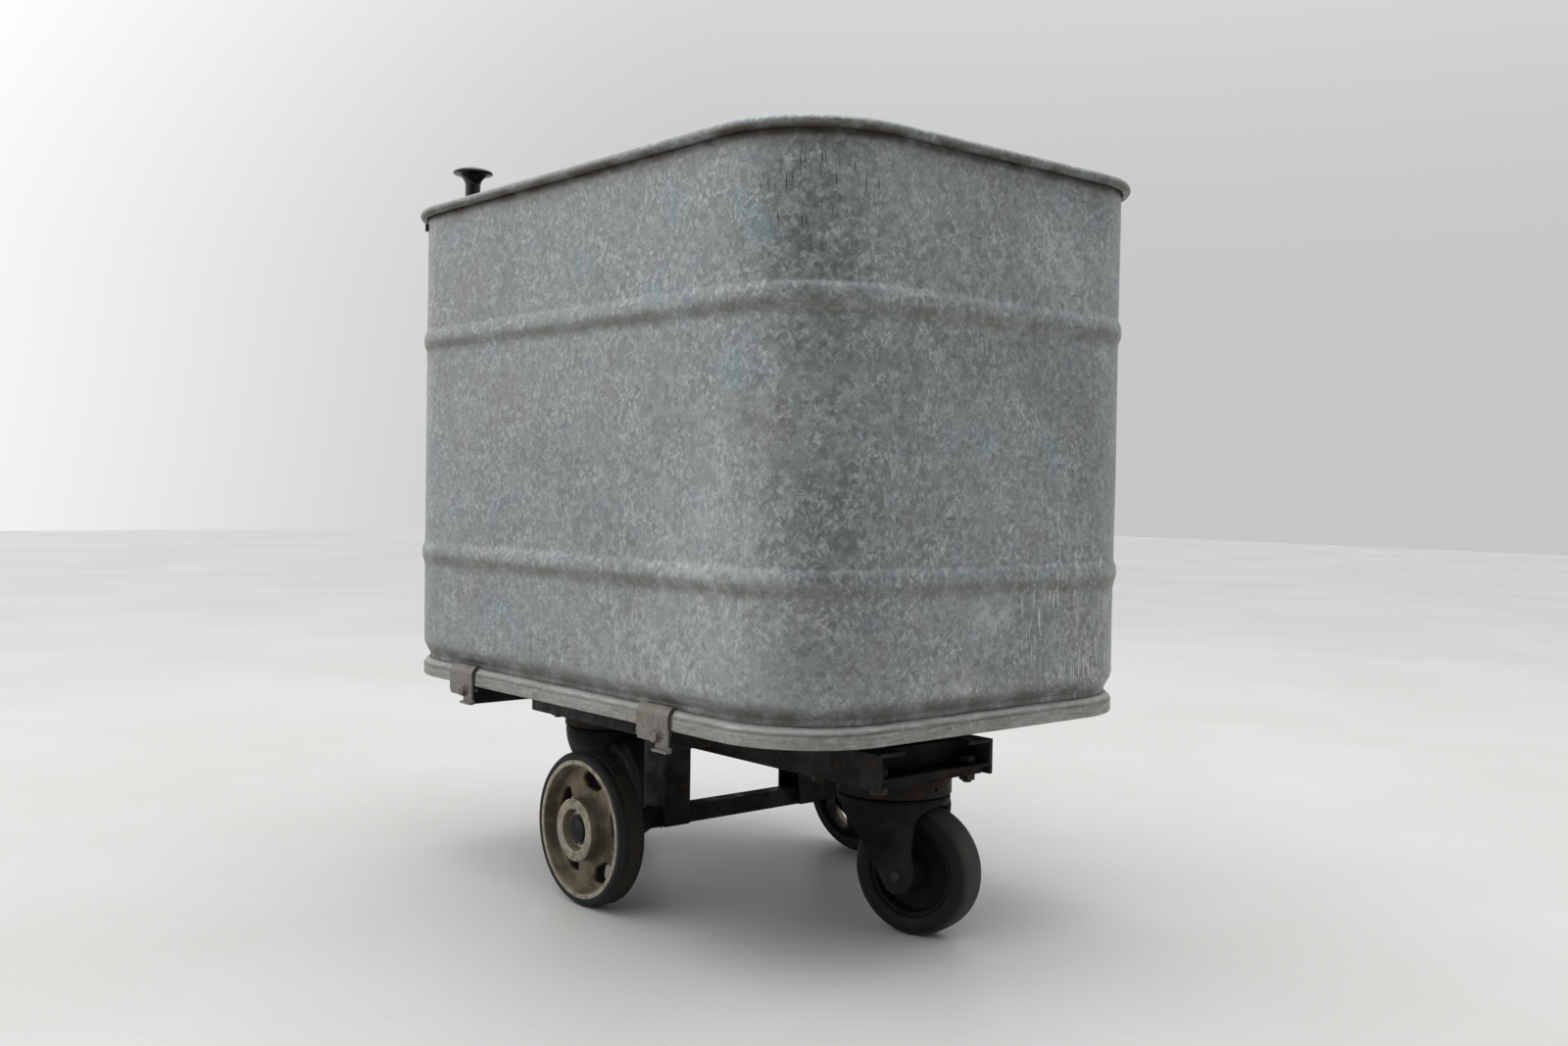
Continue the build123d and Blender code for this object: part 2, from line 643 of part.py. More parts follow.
def drain_gasket():
    z0 = FLOOR_Z + FLOOR_SHEET
    return lift_axis(disc(33.0, z0, z0 + 1.5, 21.2))


def drain_backnut():
    return lift_axis(hexagon(56.0, FLOOR_Z - 8, FLOOR_Z, 21.1))


def lift_bracket():
    """Angle bracket bolted inside the wall; its arm guides the lift rod."""
    back = TUB_CORNER - SHEET - 0.8
    foot = block(back - 4, back, -12, 12, GUIDE_Z - 30, GUIDE_Z + 4)
    arm = block(LIFT_RADIUS, back, -12, 12, GUIDE_Z, GUIDE_Z + 4)
    arm += Pos(LIFT_RADIUS, 0, 0) * disc(12.0, GUIDE_Z, GUIDE_Z + 4)
    body = foot + arm
    body -= Pos(LIFT_RADIUS, 0, 0) * disc(ROD_RADIUS + 0.5, GUIDE_Z - 1, GUIDE_Z + 5)
    body -= Pos(back - 2, 0, GUIDE_Z - 14) * Rot(0, 90, 0) * Cylinder(4.4, 12)
    return on_lift_bearing(body)


def bracket_bolt():
    """Bolt through the tub wall, with a washer outside and a nut inside."""
    z = GUIDE_Z - 14
    back = TUB_CORNER - SHEET - 0.8
    seat = TUB_CORNER + 0.1
    washer = Pos(seat, 0, z) * Rot(0, 90, 0) * disc(6.0, 0, 1.0, 4.2)
    pin = Pos(seat + 1.0, 0, z) * Rot(0, 90, 0) * (disc(4.0, -20.0, 0) + disc(5.5, 0, 3.5))
    nut = Pos(back - 4, 0, z) * Rot(0, 90, 0) * hexagon(13.0, -6.5, 0, 4.1)
    return on_lift_bearing(Compound([washer, pin, nut]))


def drain_plug():
    """Tapered rubber plug held just off its seat by its own flange."""
    top = FLOOR_Z + FLOOR_SHEET + 4
    points = [(0, top - 6), (15.5, top - 6), (21.5, top), (21.5, top + FACE_GAP)]
    points += [(25, top + FACE_GAP), (25, top + 5), (10, top + 8), (10, top + 18), (0, top + 18)]
    socket = disc(ROD_RADIUS + 0.1, top + 4, top + 30)
    return lift_axis(turned(points) - socket)


def lift_rod():
    return lift_axis(disc(ROD_RADIUS, FLOOR_Z + FLOOR_SHEET + 8, KNOB_BASE_Z + 30))


def stop_collar():
    """Collar on the rod that meets the guide arm and limits the lift."""
    return lift_axis(disc(10.0, GUIDE_Z - 76, GUIDE_Z - 64, ROD_RADIUS + 0.1))


def lift_knob():
    """Trumpet-shaped knob: straight neck, flared skirt and low domed top."""
    base = KNOB_BASE_Z
    top = KNOB_TOP_Z
    neck = 11.0
    edge = 29.0
    dome_rise = 5.0
    dome_radius = ((edge - 1) ** 2 + dome_rise ** 2) / (2 * dome_rise)
    lines = [Polyline((0, top), (0, base), (neck + 2, base), (neck, base + 6), (neck, top - 30))]
    lines.append(TangentArc((neck, top - 30), (edge - 1, top - 8), tangent=(0, 1)))
    lines.append(ThreePointArc((edge - 1, top - 8), (edge, top - 6.5), (edge - 1, top - dome_rise)))
    lines.append(RadiusArc((edge - 1, top - dome_rise), (0, top), -dome_radius))
    outline = profile(lines)
    socket = disc(ROD_RADIUS + 0.1, base - 1, base + 32)
    return lift_axis(revolve(outline, Axis.Z) - socket)


# ---------------------------------------------------------------- assembly

def build_nodes():
    """Every sub-part by its node name."""
    nodes = {"tub_wall": tub_wall(), "rim_wire": rim_wire(), "tub_floor": tub_floor()}
    nodes["chime_hoop"] = chime_hoop()
    nodes["drain_flange"] = drain_flange()
    nodes["drain_gasket"] = drain_gasket()
    nodes["drain_backnut"] = drain_backnut()
    nodes["lift_bracket"] = lift_bracket()
    nodes["bracket_bolt"] = bracket_bolt()
    nodes["drain_plug"] = drain_plug()
    nodes["lift_rod"] = lift_rod()
    nodes["stop_collar"] = stop_collar()
    nodes["lift_knob"] = lift_knob()
    nodes["clip_bolts"], nodes["clip_nuts"] = clip_fasteners()
    nodes["top_plate_bolts"], nodes["top_plate_nuts"] = plate_fasteners()
    nodes["axle_beam"] = axle_beam()
    nodes["axle_washers"] = axle_washers()
    nodes["axle_circlips"] = axle_circlips()
    for side_name, side in SIDES.items():
        nodes[f"rail_{side_name}"] = rail(side)
        nodes[f"axle_leg_{side_name}"] = axle_leg(side)
        nodes[f"wheel_centre_{side_name}"] = wheel_centre(side)
        nodes[f"wheel_bush_{side_name}"] = wheel_bush(side)
        nodes[f"wheel_tyre_{side_name}"] = wheel_tyre(side)
    for end_name, end in ENDS.items():
        nodes[f"cross_member_{end_name}"] = cross_member(end)
        for side_name, side in SIDES.items():
            nodes[f"clip_{end_name}_{side_name}"] = clip(end, side)
        nodes.update(caster_nodes(end_name, end))
    return nodes


def caster_nodes(name, end):
    """Sub-parts of one caster and its bearers."""
    makers = {"caster_bearers": caster_bearers, "top_plate": top_plate, "fork": fork,
              "kingpin": kingpin, "kingpin_nut": kingpin_nut, "race_balls": race_balls,
              "caster_axle_bolt": caster_axle_bolt, "caster_sleeve": caster_sleeve,
              "thrust_washers": thrust_washers, "caster_core": caster_core,
              "caster_tyre": caster_tyre}
    return {f"{name}_{part}": make(end) for part, make in makers.items()}


os.makedirs("parts", exist_ok=True)
for node_name, shape in build_nodes().items():
    export_step(shape, f"parts/{node_name}.step")
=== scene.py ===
import math

import bmesh
import bpy
from mathutils import Matrix, Vector, noise


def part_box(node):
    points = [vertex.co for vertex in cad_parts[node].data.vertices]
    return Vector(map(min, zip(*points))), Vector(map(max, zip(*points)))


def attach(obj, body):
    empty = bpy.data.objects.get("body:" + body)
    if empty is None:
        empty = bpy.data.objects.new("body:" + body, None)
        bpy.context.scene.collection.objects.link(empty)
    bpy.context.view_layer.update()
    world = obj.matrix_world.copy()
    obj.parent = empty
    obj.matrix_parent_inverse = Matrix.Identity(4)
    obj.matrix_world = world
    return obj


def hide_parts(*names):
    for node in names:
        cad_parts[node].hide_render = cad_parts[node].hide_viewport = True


# Looks of the galvanised tub trolley. Lengths are in millimetres in the frame of the CAD model,
# and become metres when a mesh is made.
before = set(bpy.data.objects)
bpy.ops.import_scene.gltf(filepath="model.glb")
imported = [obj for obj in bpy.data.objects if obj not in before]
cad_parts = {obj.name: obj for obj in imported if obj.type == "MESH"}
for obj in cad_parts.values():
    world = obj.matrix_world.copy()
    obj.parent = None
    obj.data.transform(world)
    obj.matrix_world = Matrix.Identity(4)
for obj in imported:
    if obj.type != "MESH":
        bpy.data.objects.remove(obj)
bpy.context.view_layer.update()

MM = 0.001
CHASSIS = "chassis"
SIDES = {"right": -1, "left": 1}
ENDS = {"rear": -1, "front": 1}


def span(node):
    """Lowest and highest corner of a CAD node."""
    low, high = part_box(node)
    return low / MM, high / MM


def middle(node):
    low, high = span(node)
    return (low + high) / 2


# ---------------- sizes that the pieces share

HALF_L, HALF_W = span("chime_hoop")[1].xy
BASE_Z = span("chime_hoop")[0].z
RIM_TOP = span("tub_wall")[1].z
CORNER = 128.0
SHEET = 1.5
BEADS = (448.0, 756.0)
BEAD_PROUD = 4.0
BEAD_HALF = 15.0
NECK_DEPTH = 9.0
NECK_RISE = 17.5
NECK_TOP = BASE_Z + 44.0
WIRE_SPACE = 5.0
ROLL_END = math.radians(-115)


# ---------------- outlines

def rounded(corners, steps=6, closed=True):
    """Outline with an arc at each corner, where a corner is (x, y, radius)."""
    outline = []
    count = len(corners)
    for number, (x, y, radius) in enumerate(corners):
        here = Vector((x, y))
        if radius == 0 or not closed and number in (0, count - 1):
            outline.append((x, y))
            continue
        to_last = Vector(corners[number - 1][:2]) - here
        to_next = Vector(corners[(number + 1) % count][:2]) - here
        half = to_last.angle(to_next) / 2
        reach = min(radius / math.tan(half), 0.49 * min(to_last.length, to_next.length))
        start = here + to_last.normalized() * reach
        end = here + to_next.normalized() * reach
        inward = (to_last.normalized() + to_next.normalized()).normalized()
        centre = here + inward * (reach / math.cos(half))
        first = start - centre
        turn = first.angle_signed(end - centre)
        for step in range(steps + 1):
            outline.append(tuple(centre + Matrix.Rotation(-turn * step / steps, 2) @ first))
    return outline


def divided(outline, pitch, closed=False):
    """Outline with extra points, so that no straight run is longer than pitch."""
    result = []
    followers = outline[1:] + (outline[:1] if closed else [])
    for (x0, y0), (x1, y1) in zip(outline, followers):
        count = max(1, math.ceil(math.hypot(x1 - x0, y1 - y0) / pitch))
        result += [(x0 + (x1 - x0) * k / count, y0 + (y1 - y0) * k / count) for k in range(count)]
    return result if closed else result + [outline[-1]]


def arc(x, y, radius, start_deg, end_deg, steps):
    """Points on a circle's arc, both ends included."""
    angles = [math.radians(start_deg + (end_deg - start_deg) * k / steps) for k in range(steps + 1)]
    return [(x + radius * math.cos(a), y + radius * math.sin(a)) for a in angles]


def smooth(value, low, high):
    """0 below low, 1 above high and smooth between them."""
    share = min(1.0, max(0.0, (value - low) / (high - low)))
    return share * share * (3 - 2 * share)


# ---------------- shapes, as points and faces

def grid_faces(rows, columns, wrap_rows, wrap_columns):
    """Quads over a grid whose points are stored row by row."""
    faces = []
    for row in range(rows if wrap_rows else rows - 1):
        for column in range(columns if wrap_columns else columns - 1):
            after = (column + 1) % columns
            below = (row + 1) % rows * columns
            here = row * columns
            faces.append((here + column, here + after, below + after, below + column))
    return faces


def lathe(outline, steps=96, closed=False):
    """Turn (radius, z) points about Z."""
    points = []
    for step in range(steps):
        angle = 2 * math.pi * step / steps
        points += [(r * math.cos(angle), r * math.sin(angle), z) for r, z in outline]
    return points, grid_faces(steps, len(outline), True, closed)


def hexagon(across, height, bore=0.0, steps=72):
    """Hexagon head or nut with its top corners chamfered, standing on z = 0."""
    crown = 0.475 * across
    rings = []
    for step in range(steps):
        angle = 2 * math.pi * step / steps
        flat = (angle + math.pi / 6) % (math.pi / 3) - math.pi / 6
        radius = across / 2 / math.cos(flat)
        edge = height - (radius - crown) * math.tan(math.radians(30))
        ring = [(bore, 0), (radius, 0), (radius, edge), (crown, height), (bore + 0.6, height)]
        if bore:
            ring.append((bore, height - 0.6))
        rings.append([(r * math.cos(angle), r * math.sin(angle), z) for r, z in ring])
    if not bore:
        rings = [ring[1:4] + [(0, 0, height)] for ring in rings]
    columns = len(rings[0])
    points = [point for ring in rings for point in ring]
    return points, grid_faces(steps, columns, True, bool(bore))


def shank(radius, z0, z1, chamfer=0.8):
    """Threaded end of a bolt: a fine rolled ridge for each turn."""
    outline = [(0, z0), (radius - chamfer, z0), (radius, z0 + chamfer)]
    pitch = 1.25
    turns = int((z1 - z0 - chamfer) / pitch)
    for turn in range(turns):
        z = z0 + chamfer + turn * pitch
        outline += [(radius - 0.5, z + pitch * 0.35), (radius, z + pitch * 0.75)]
    return lathe(outline + [(radius, z1)], 40)


def round_the_tub(section, pitch=8.0, swell=None):
    """Carry a closed section, as (outward from the wall line, up), once round the tub."""
    runs = []
    centre_x, centre_y = HALF_L - CORNER, HALF_W - CORNER
    signs = ((1, 1), (-1, 1), (-1, -1), (1, -1))
    for quarter, (sx, sy) in enumerate(signs):
        start = quarter * 90
        steps = math.ceil(CORNER * math.pi / 2 / pitch * 1.6)
        for step in range(steps + 1):
            angle = math.radians(start + 90 * step / steps)
            normal = Vector((math.cos(angle), math.sin(angle)))
            runs.append((Vector((sx * centre_x, sy * centre_y)) + normal * CORNER, normal))
        nx, ny = signs[(quarter + 1) % 4]
        normal = runs[-1][1]
        here = runs[-1][0]
        there = Vector((nx * centre_x, ny * centre_y)) + normal * CORNER
        count = math.ceil((there - here).length / pitch)
        runs += [(here.lerp(there, k / count), normal) for k in range(1, count)]
    points = []
    for base, normal in runs:
        for out, up in section:
            extra = swell(base, up) if swell else 0.0
            spot = base + normal * (out + extra)
            points.append((spot.x, spot.y, up))
    return points, grid_faces(len(runs), len(section), True, True)


def thickened(line, thickness):
    """Closed section from an open line: a second face lies to the left of it."""
    second = []
    for number, (x, y) in enumerate(line):
        before = Vector(line[max(number - 1, 0)])
        after = Vector(line[min(number + 1, len(line) - 1)])
        along = (after - before).normalized()
        second.append((x - along.y * thickness, y + along.x * thickness))
    return line + second[::-1]


def seam(start, end, radius, seed):
    """Weld bead along a straight corner: a lumpy rod with overlapping ripples."""
    start, end = Vector(start), Vector(end)
    along = (end - start).normalized()
    side = along.orthogonal().normalized()
    up = along.cross(side)
    count = max(6, int((end - start).length / 1.5))
    sections = 10
    points = []
    for step in range(count + 1):
        share = step / count
        centre = start.lerp(end, share)
        fat = radius * min(1.0, 0.35 + 4 * min(share, 1 - share))
        fat *= 1 + 0.10 * math.sin(step * 1.9) + 0.18 * noise.noise(centre * 0.12 + Vector((seed,) * 3))
        for k in range(sections):
            angle = 2 * math.pi * k / sections
            points.append(tuple(centre + (side * math.cos(angle) + up * math.sin(angle)) * fat))
    faces = grid_faces(count + 1, sections, False, True)
    faces.append(tuple(range(sections)))
    faces.append(tuple(reversed(range(count * sections, (count + 1) * sections))))
    return points, faces


# ---------------- making pieces

class Part:
    """Collects shapes, then makes one Blender object from them."""

    def __init__(self, name):
        self.name = name
        self.points = []
        self.faces = []
        self.wear = []

    def add(self, shape, place=None, wear=None):
        """Add a shape. wear gives each of its points a number from 0 to 1 for its material."""
        points, faces = shape
        place = place or Matrix()
        offset = len(self.points)
        self.wear += [wear(Vector(p)) if wear else 0.0 for p in points]
        self.points += [place @ Vector(p) for p in points]
        self.faces += [tuple(index + offset for index in face) for face in faces]
        return self

    def make(self, body, material, slot, replaces=(), place=None, sharp_deg=38, merge=0.01):
        mesh = bpy.data.meshes.new(self.name)
        mesh.from_pydata([p * MM for p in self.points], [], self.faces)
        values = mesh.attributes.new("wear", "FLOAT", "POINT")
        values.data.foreach_set("value", self.wear)
        work = bmesh.new()
        work.from_mesh(mesh)
        bmesh.ops.remove_doubles(work, verts=work.verts, dist=merge * MM)
        bmesh.ops.dissolve_degenerate(work, edges=work.edges, dist=merge * MM)
        bmesh.ops.recalc_face_normals(work, faces=work.faces)
        work.to_mesh(mesh)
        work.free()
        mesh.shade_smooth()
        mesh.set_sharp_from_angle(angle=math.radians(sharp_deg))
        mesh.materials.append(material)
        obj = linked(self.name, mesh)
        if place:
            obj.matrix_world = Matrix.Translation(place.translation * MM) @ place.to_3x3().to_4x4()
        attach(obj, body)
        if replaces:
            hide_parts(*replaces)
        return obj


def linked(name, data):
    """A new object in the scene."""
    obj = bpy.data.objects.new(name, data)
    bpy.context.scene.collection.objects.link(obj)
    return obj


def shift(x, y, z):
    return Matrix.Translation((x, y, z))


def turn(degrees, axis):
    return Matrix.Rotation(math.radians(degrees), 4, axis)


def facing_y(x, y, z, side):
    """Turns an upright shape so that its top faces side * Y."""
    return shift(x, y, z) @ turn(-90 * side, "X")


# ---------------- materials

class Nodes:
    """Short ways to add shader nodes to a tree."""

    def __init__(self, tree, coordinates):
        self.tree = tree
        self.place = self.add("ShaderNodeTexCoord")[coordinates]

    def put(self, socket, value):
        """Give a socket a value, a colour or another node's output."""
        if isinstance(value, bpy.types.NodeSocket):
            self.tree.links.new(value, socket)
        elif socket.type == "RGBA":
            socket.default_value = (*value, 1)
        else:
            socket.default_value = value

    def add(self, kind, inputs=None, **settings):
        """Add a node with its settings and inputs, and return its outputs."""
        made = self.tree.nodes.new(kind)
        for name, value in settings.items():
            setattr(made, name, value)
        for name, value in (inputs or {}).items():
            self.put(made.inputs[name], value)
        return made.outputs

    def fade(self, value, low, high, first=0.0, last=1.0):
        """Map value smoothly from low..high to first..last."""
        inputs = {"Value": value, "From Min": low, "From Max": high, "To Min": first, "To Max": last}
        return self.add("ShaderNodeMapRange", inputs, interpolation_type="SMOOTHSTEP")["Result"]

    def vector(self, operation, first, second=(0, 0, 0)):
        return self.add("ShaderNodeVectorMath", {0: first, 1: second}, operation=operation)


class Paint(Nodes):
    """A Principled material whose colour is laid on in layers."""

    def __init__(self, name, metallic=0.0):
        self.material = bpy.data.materials.new(name)
        self.material.use_nodes = True
        super().__init__(self.material.node_tree, "Object")
        self.shader = self.tree.nodes["Principled BSDF"].inputs
        self.put(self.shader["Metallic"], metallic)
        self.colour = None

    def spot(self, stretch=(1, 1, 1), moved=0.0, bent=0.0, wave=420.0, lean=0.0):
        """Object coordinates, leaned in the near corner's plane, stretched, moved and bent by noise."""
        place = self.place
        if lean:
            inputs = {"Axis": (0.7071, -0.7071, 0), "Angle": lean, "Vector": place}
            place = self.add("ShaderNodeVectorRotate", inputs, rotation_type="AXIS_ANGLE")["Vector"]
        inputs = {"Vector": place, "Scale": stretch, "Location": (moved, moved * 0.7, moved * 1.3)}
        place = self.add("ShaderNodeMapping", inputs)["Vector"]
        if bent:
            wobble = self.add("ShaderNodeTexNoise", {"Scale": wave, "Vector": place})["Color"]
            inputs = {"Factor": bent, "A": place, "B": wobble}
            place = self.add("ShaderNodeMix", inputs, data_type="VECTOR", factor_mode="UNIFORM")["Result"]
        return place

    def noise(self, size, detail=4.0, rough=0.55, **where):
        """Noise about 0.5 whose blobs are about size millimetres wide."""
        inputs = {"Scale": 0.8 / (size * MM), "Detail": detail, "Roughness": rough}
        return self.add("ShaderNodeTexNoise", {**inputs, "Vector": self.spot(**where)})["Fac"]

    def patches(self, size, low, high, first=0.0, last=1.0, **look):
        """Noise, mapped smoothly from low..high to first..last."""
        return self.fade(self.noise(size, **look), low, high, first, last)

    def cells(self, size, **where):
        """A random number for each cell of about size millimetres."""
        cell = self.add("ShaderNodeTexVoronoi", {"Scale": 1 / (size * MM), "Vector": self.spot(**where)})
        return self.add("ShaderNodeSeparateColor", {"Color": cell["Color"]})["Red"]

    def wear(self):
        return self.add("ShaderNodeAttribute", attribute_name="wear")["Fac"]

    def axis(self, name):
        return self.add("ShaderNodeSeparateXYZ", {"Vector": self.place})[name]

    def near(self, centre, reach, softness=1.0):
        """1 near a place in the frame and 0 beyond reach millimetres along each axis."""
        inputs = {"Vector": self.place, "Scale": [1 / (r * MM) for r in reach],
                  "Location": [-c / r for c, r in zip(centre, reach)]}
        far = self.vector("LENGTH", self.add("ShaderNodeMapping", inputs)["Vector"])
        return self.fade(far["Value"], 1 - softness, 1.0, 1.0, 0.0)

    def edges(self, width):
        """1 on edges and 0 on flat faces, from how a rounded normal differs."""
        bevel = self.add("ShaderNodeBevel", {"Radius": width * MM}, samples=4)["Normal"]
        same = self.vector("DOT_PRODUCT", bevel, self.add("ShaderNodeNewGeometry")["Normal"])
        return self.fade(same["Value"], 0.70, 0.97, 1.0, 0.0)

    def calc(self, operation, first, second=0.0):
        return self.add("ShaderNodeMath", {0: first, 1: second}, operation=operation)["Value"]

    def plus(self, first, second):
        return self.calc("ADD", first, second)

    def times(self, value, *factors):
        for factor in factors:
            value = self.calc("MULTIPLY", value, factor)
        return value

    def mix(self, share, first, second):
        """Blend two colours by share."""
        inputs = {"Factor": share, "A": first, "B": second}
        return self.add("ShaderNodeMix", inputs, data_type="RGBA")["Result"]

    def layer(self, share, tint):
        """Lay a tint over the colour so far, by share."""
        self.colour = self.mix(share, self.colour, tint)

    def finish(self, roughness, relief=None, strength=0.0, depth=1.0):
        """Set the colour, the roughness and a bump whose full height is depth millimetres."""
        self.put(self.shader["Base Color"], self.colour)
        self.put(self.shader["Roughness"], roughness)
        if relief:
            inputs = {"Strength": strength, "Distance": depth * MM, "Height": relief}
            self.put(self.shader["Normal"], self.add("ShaderNodeBump", inputs)["Normal"])
        return self.material


def shaded(colour, gain):
    return [c * gain for c in colour]


def zinc(name, mid, light, dark, tub=False, band=False, frost=1.0):
    """Old galvanised sheet: broken spangle, stains, and on the tub its dirt with painted shade, scuffs and
    scratches; on the band painted highlight and painted shade lines.
    """
    paint = Paint(name, 0.55)
    large = paint.noise(170, detail=3)
    paint.colour = paint.mix(paint.fade(large, 0.35, 0.65), dark, mid)
    olive = [mid[0] * 0.86, mid[1] * 0.82, mid[2] * 0.68]
    teal = [mid[0] * 0.80, mid[1] * 1.06, mid[2] * 1.10]
    paint.layer(paint.patches(80, 0.52, 0.70, 0, 0.55, moved=3.1), olive)
    paint.layer(paint.patches(60, 0.54, 0.72, 0, 0.50, detail=5, moved=7.7), teal)
    broken = paint.noise(2.8, detail=3, rough=0.7, moved=8.0)
    coarse = paint.cells(8.5, bent=0.012, wave=230.0)
    small = paint.cells(4.6, bent=0.007, wave=360.0, moved=1.7)
    crystals = paint.times(paint.fade(coarse, 0.30, 1.0), paint.fade(broken, 0.34, 0.60, 0.25, 1.0))
    patch = paint.patches(34, 0.36, 0.64, 0.45, 1.0, moved=5.0)
    paint.layer(paint.times(crystals, patch, 0.50 * frost), light)
    shards = paint.times(paint.fade(small, 0.50, 1.0), paint.fade(broken, 0.58, 0.38, 0.2, 1.0))
    paint.layer(paint.times(shards, 0.40 * frost), light)
    thick = paint.times(paint.patches(48, 0.40, 0.62, 0.25, 1.0, detail=3, moved=6.6), 0.43 * frost)
    for lean, moved in ((0.75, 4.3), (-0.55, 2.9)):
        leaf = paint.cells(3.6, stretch=(1.25, 1.25, 0.55), bent=0.006, wave=330.0, moved=moved, lean=lean)
        paint.layer(paint.times(paint.fade(leaf, 0.80, 0.97), thick), shaded(light, 1.18))
    dull = paint.plus(paint.fade(coarse, 0.30, 0.05), paint.fade(small, 0.26, 0.08))
    paint.layer(paint.times(dull, 0.26 * frost), shaded(dark, 0.72))
    paint.layer(paint.patches(5.5, 0.60, 0.74, 0, 0.30, detail=2, moved=9.0), shaded(dark, 0.7))
    if tub:
        scuffed(paint, light)
        dirt_and_painted_shade(paint)
        scratched(paint)
    if band:
        streaks_and_painted_light(paint, light)
    matt = paint.plus(paint.fade(large, 0.3, 0.7, 0.38, 0.50), paint.fade(coarse, 0, 1, -0.06, 0.08))
    relief = paint.plus(paint.noise(9, detail=5, moved=1.0), paint.times(coarse, 0.25))
    return paint.finish(matt, relief, 0.35, 0.25)


def scuffed(paint, light):
    """Pale rubbed areas on the near corner and on the end, made of fine leaning scratches."""
    places = [((330, -320, 470), (190, 90, 210)), ((230, -320, 340), (230, 90, 110)),
              ((466, -60, 318), (70, 130, 34)), ((466, -10, 395), (70, 60, 60)),
              ((466, 110, 830), (70, 150, 80))]
    hairs = paint.patches(1.6, 0.50, 0.64, detail=3, rough=0.6, stretch=(1, 1, 0.10), lean=0.22)
    for number, (centre, reach) in enumerate(places):
        broken = paint.patches(16, 0.40, 0.64, 0.10, 1.0, detail=6, rough=0.75, moved=number * 2.3)
        share = paint.times(paint.near(centre, reach, 0.95), broken)
        paint.layer(paint.times(share, 0.45), light)
        paint.layer(paint.times(share, hairs, 0.60), shaded(light, 1.25))


def dirt_and_painted_shade(paint):
    """Darker bands under the rim, below each bead and in the neck above the band: brown dirt together with
    painted shade where the sheet faces down or lies under an overhang.
    """
    height = paint.axis("Z")
    uneven = paint.patches(40, 0.30, 0.62, 0.35, 1.0, detail=5, stretch=(1, 1, 2), moved=6.0)
    # Each band is brown dirt with painted shade: on the lower flank of each bead, in the downward-facing
    # neck, and under the rim roll, where the last band is a dark painted shade line.
    bands = [(bead - 26, bead - 12, bead - 8, bead + 1, 0.58, (0.100, 0.096, 0.072)) for bead in BEADS]
    bands += [(0, 1, BASE_Z + 34, BASE_Z + 56, 0.80, (0.070, 0.062, 0.052)),
              (RIM_TOP - 44, RIM_TOP - 12, RIM_TOP - 8, RIM_TOP - 2, 0.60, (0.100, 0.082, 0.060)),
              (RIM_TOP - 24, RIM_TOP - 16, RIM_TOP - 11, RIM_TOP - 6, 0.95, (0.045, 0.036, 0.027))]
    for low, full, still, high, strength, dirt_and_shade in bands:
        rise = paint.fade(height, low * MM, full * MM)
        fall = paint.fade(height, still * MM, high * MM, 1.0, 0.0)
        paint.layer(paint.times(rise, fall, paint.times(uneven, strength)), dirt_and_shade)


def streaks_and_painted_light(paint, light):
    """Level streaks, a painted highlight along the band's sloped top, painted shade lines at its upper
    corner and at the neck crease, and painted shadow beside the clips.
    """
    level = paint.noise(3.0, detail=5, rough=0.7, stretch=(0.11, 0.11, 1), moved=2.0)
    paint.layer(paint.fade(level, 0.52, 0.66, 0, 0.5), light)
    paint.layer(paint.fade(level, 0.46, 0.34, 0, 0.5), (0.095, 0.088, 0.078))
    broken = paint.patches(50, 0.30, 0.55, 0.45, 1.0, moved=8.0)
    # Painted light lines along the band: painted shade at its upper corner, a painted highlight on its
    # sloped top, and painted shade in the crease at the neck.
    for rise, reach, strength, tint in ((16.5, 2.6, 0.55, (0.060, 0.056, 0.050)),
                                        (21.5, 2.0, 0.50, (0.42, 0.44, 0.44)),
                                        (25.5, 2.4, 0.75, (0.050, 0.045, 0.038))):
        gap = paint.calc("ABSOLUTE", paint.calc("SUBTRACT", paint.axis("Z"), (BASE_Z + rise) * MM))
        line = paint.fade(gap, reach * 0.3 * MM, reach * MM, 1.0, 0.0)
        paint.layer(paint.times(line, strength, broken), tint)
    # Painted shadow in the gap beside each end of every clip.
    for end_name in ENDS:
        for side_name, side in SIDES.items():
            for corner in span(f"clip_{end_name}_{side_name}"):
                share = paint.near((corner.x, side * HALF_W, BASE_Z + 12), (7, 30, 40), 0.75)
                paint.layer(paint.times(share, 0.80), (0.030, 0.026, 0.022))


def scratched(paint):
    """Short dark upright scratches near the top of the corner and light ones low on the end."""
    fine = paint.noise(1.5, detail=0, stretch=(1, 1, 0.055), moved=9.0)
    top = paint.near((430, -262, 868), (90, 90, 52), 0.35)
    paint.layer(paint.times(paint.fade(fine, 0.73, 0.76), top, 0.85), (0.015, 0.015, 0.015))
    low_end = paint.near((466, 170, 400), (60, 170, 150), 0.5)
    paint.layer(paint.times(paint.fade(fine, 0.69, 0.73), low_end, 0.8), (0.62, 0.63, 0.64))
    rubs = paint.patches(2.0, 0.70, 0.74, detail=1, stretch=(0.08, 0.08, 1), moved=11.0)
    here_and_there = paint.patches(90, 0.50, 0.60, moved=4.4)
    paint.layer(paint.times(rubs, here_and_there, 0.5), (0.03, 0.03, 0.028))


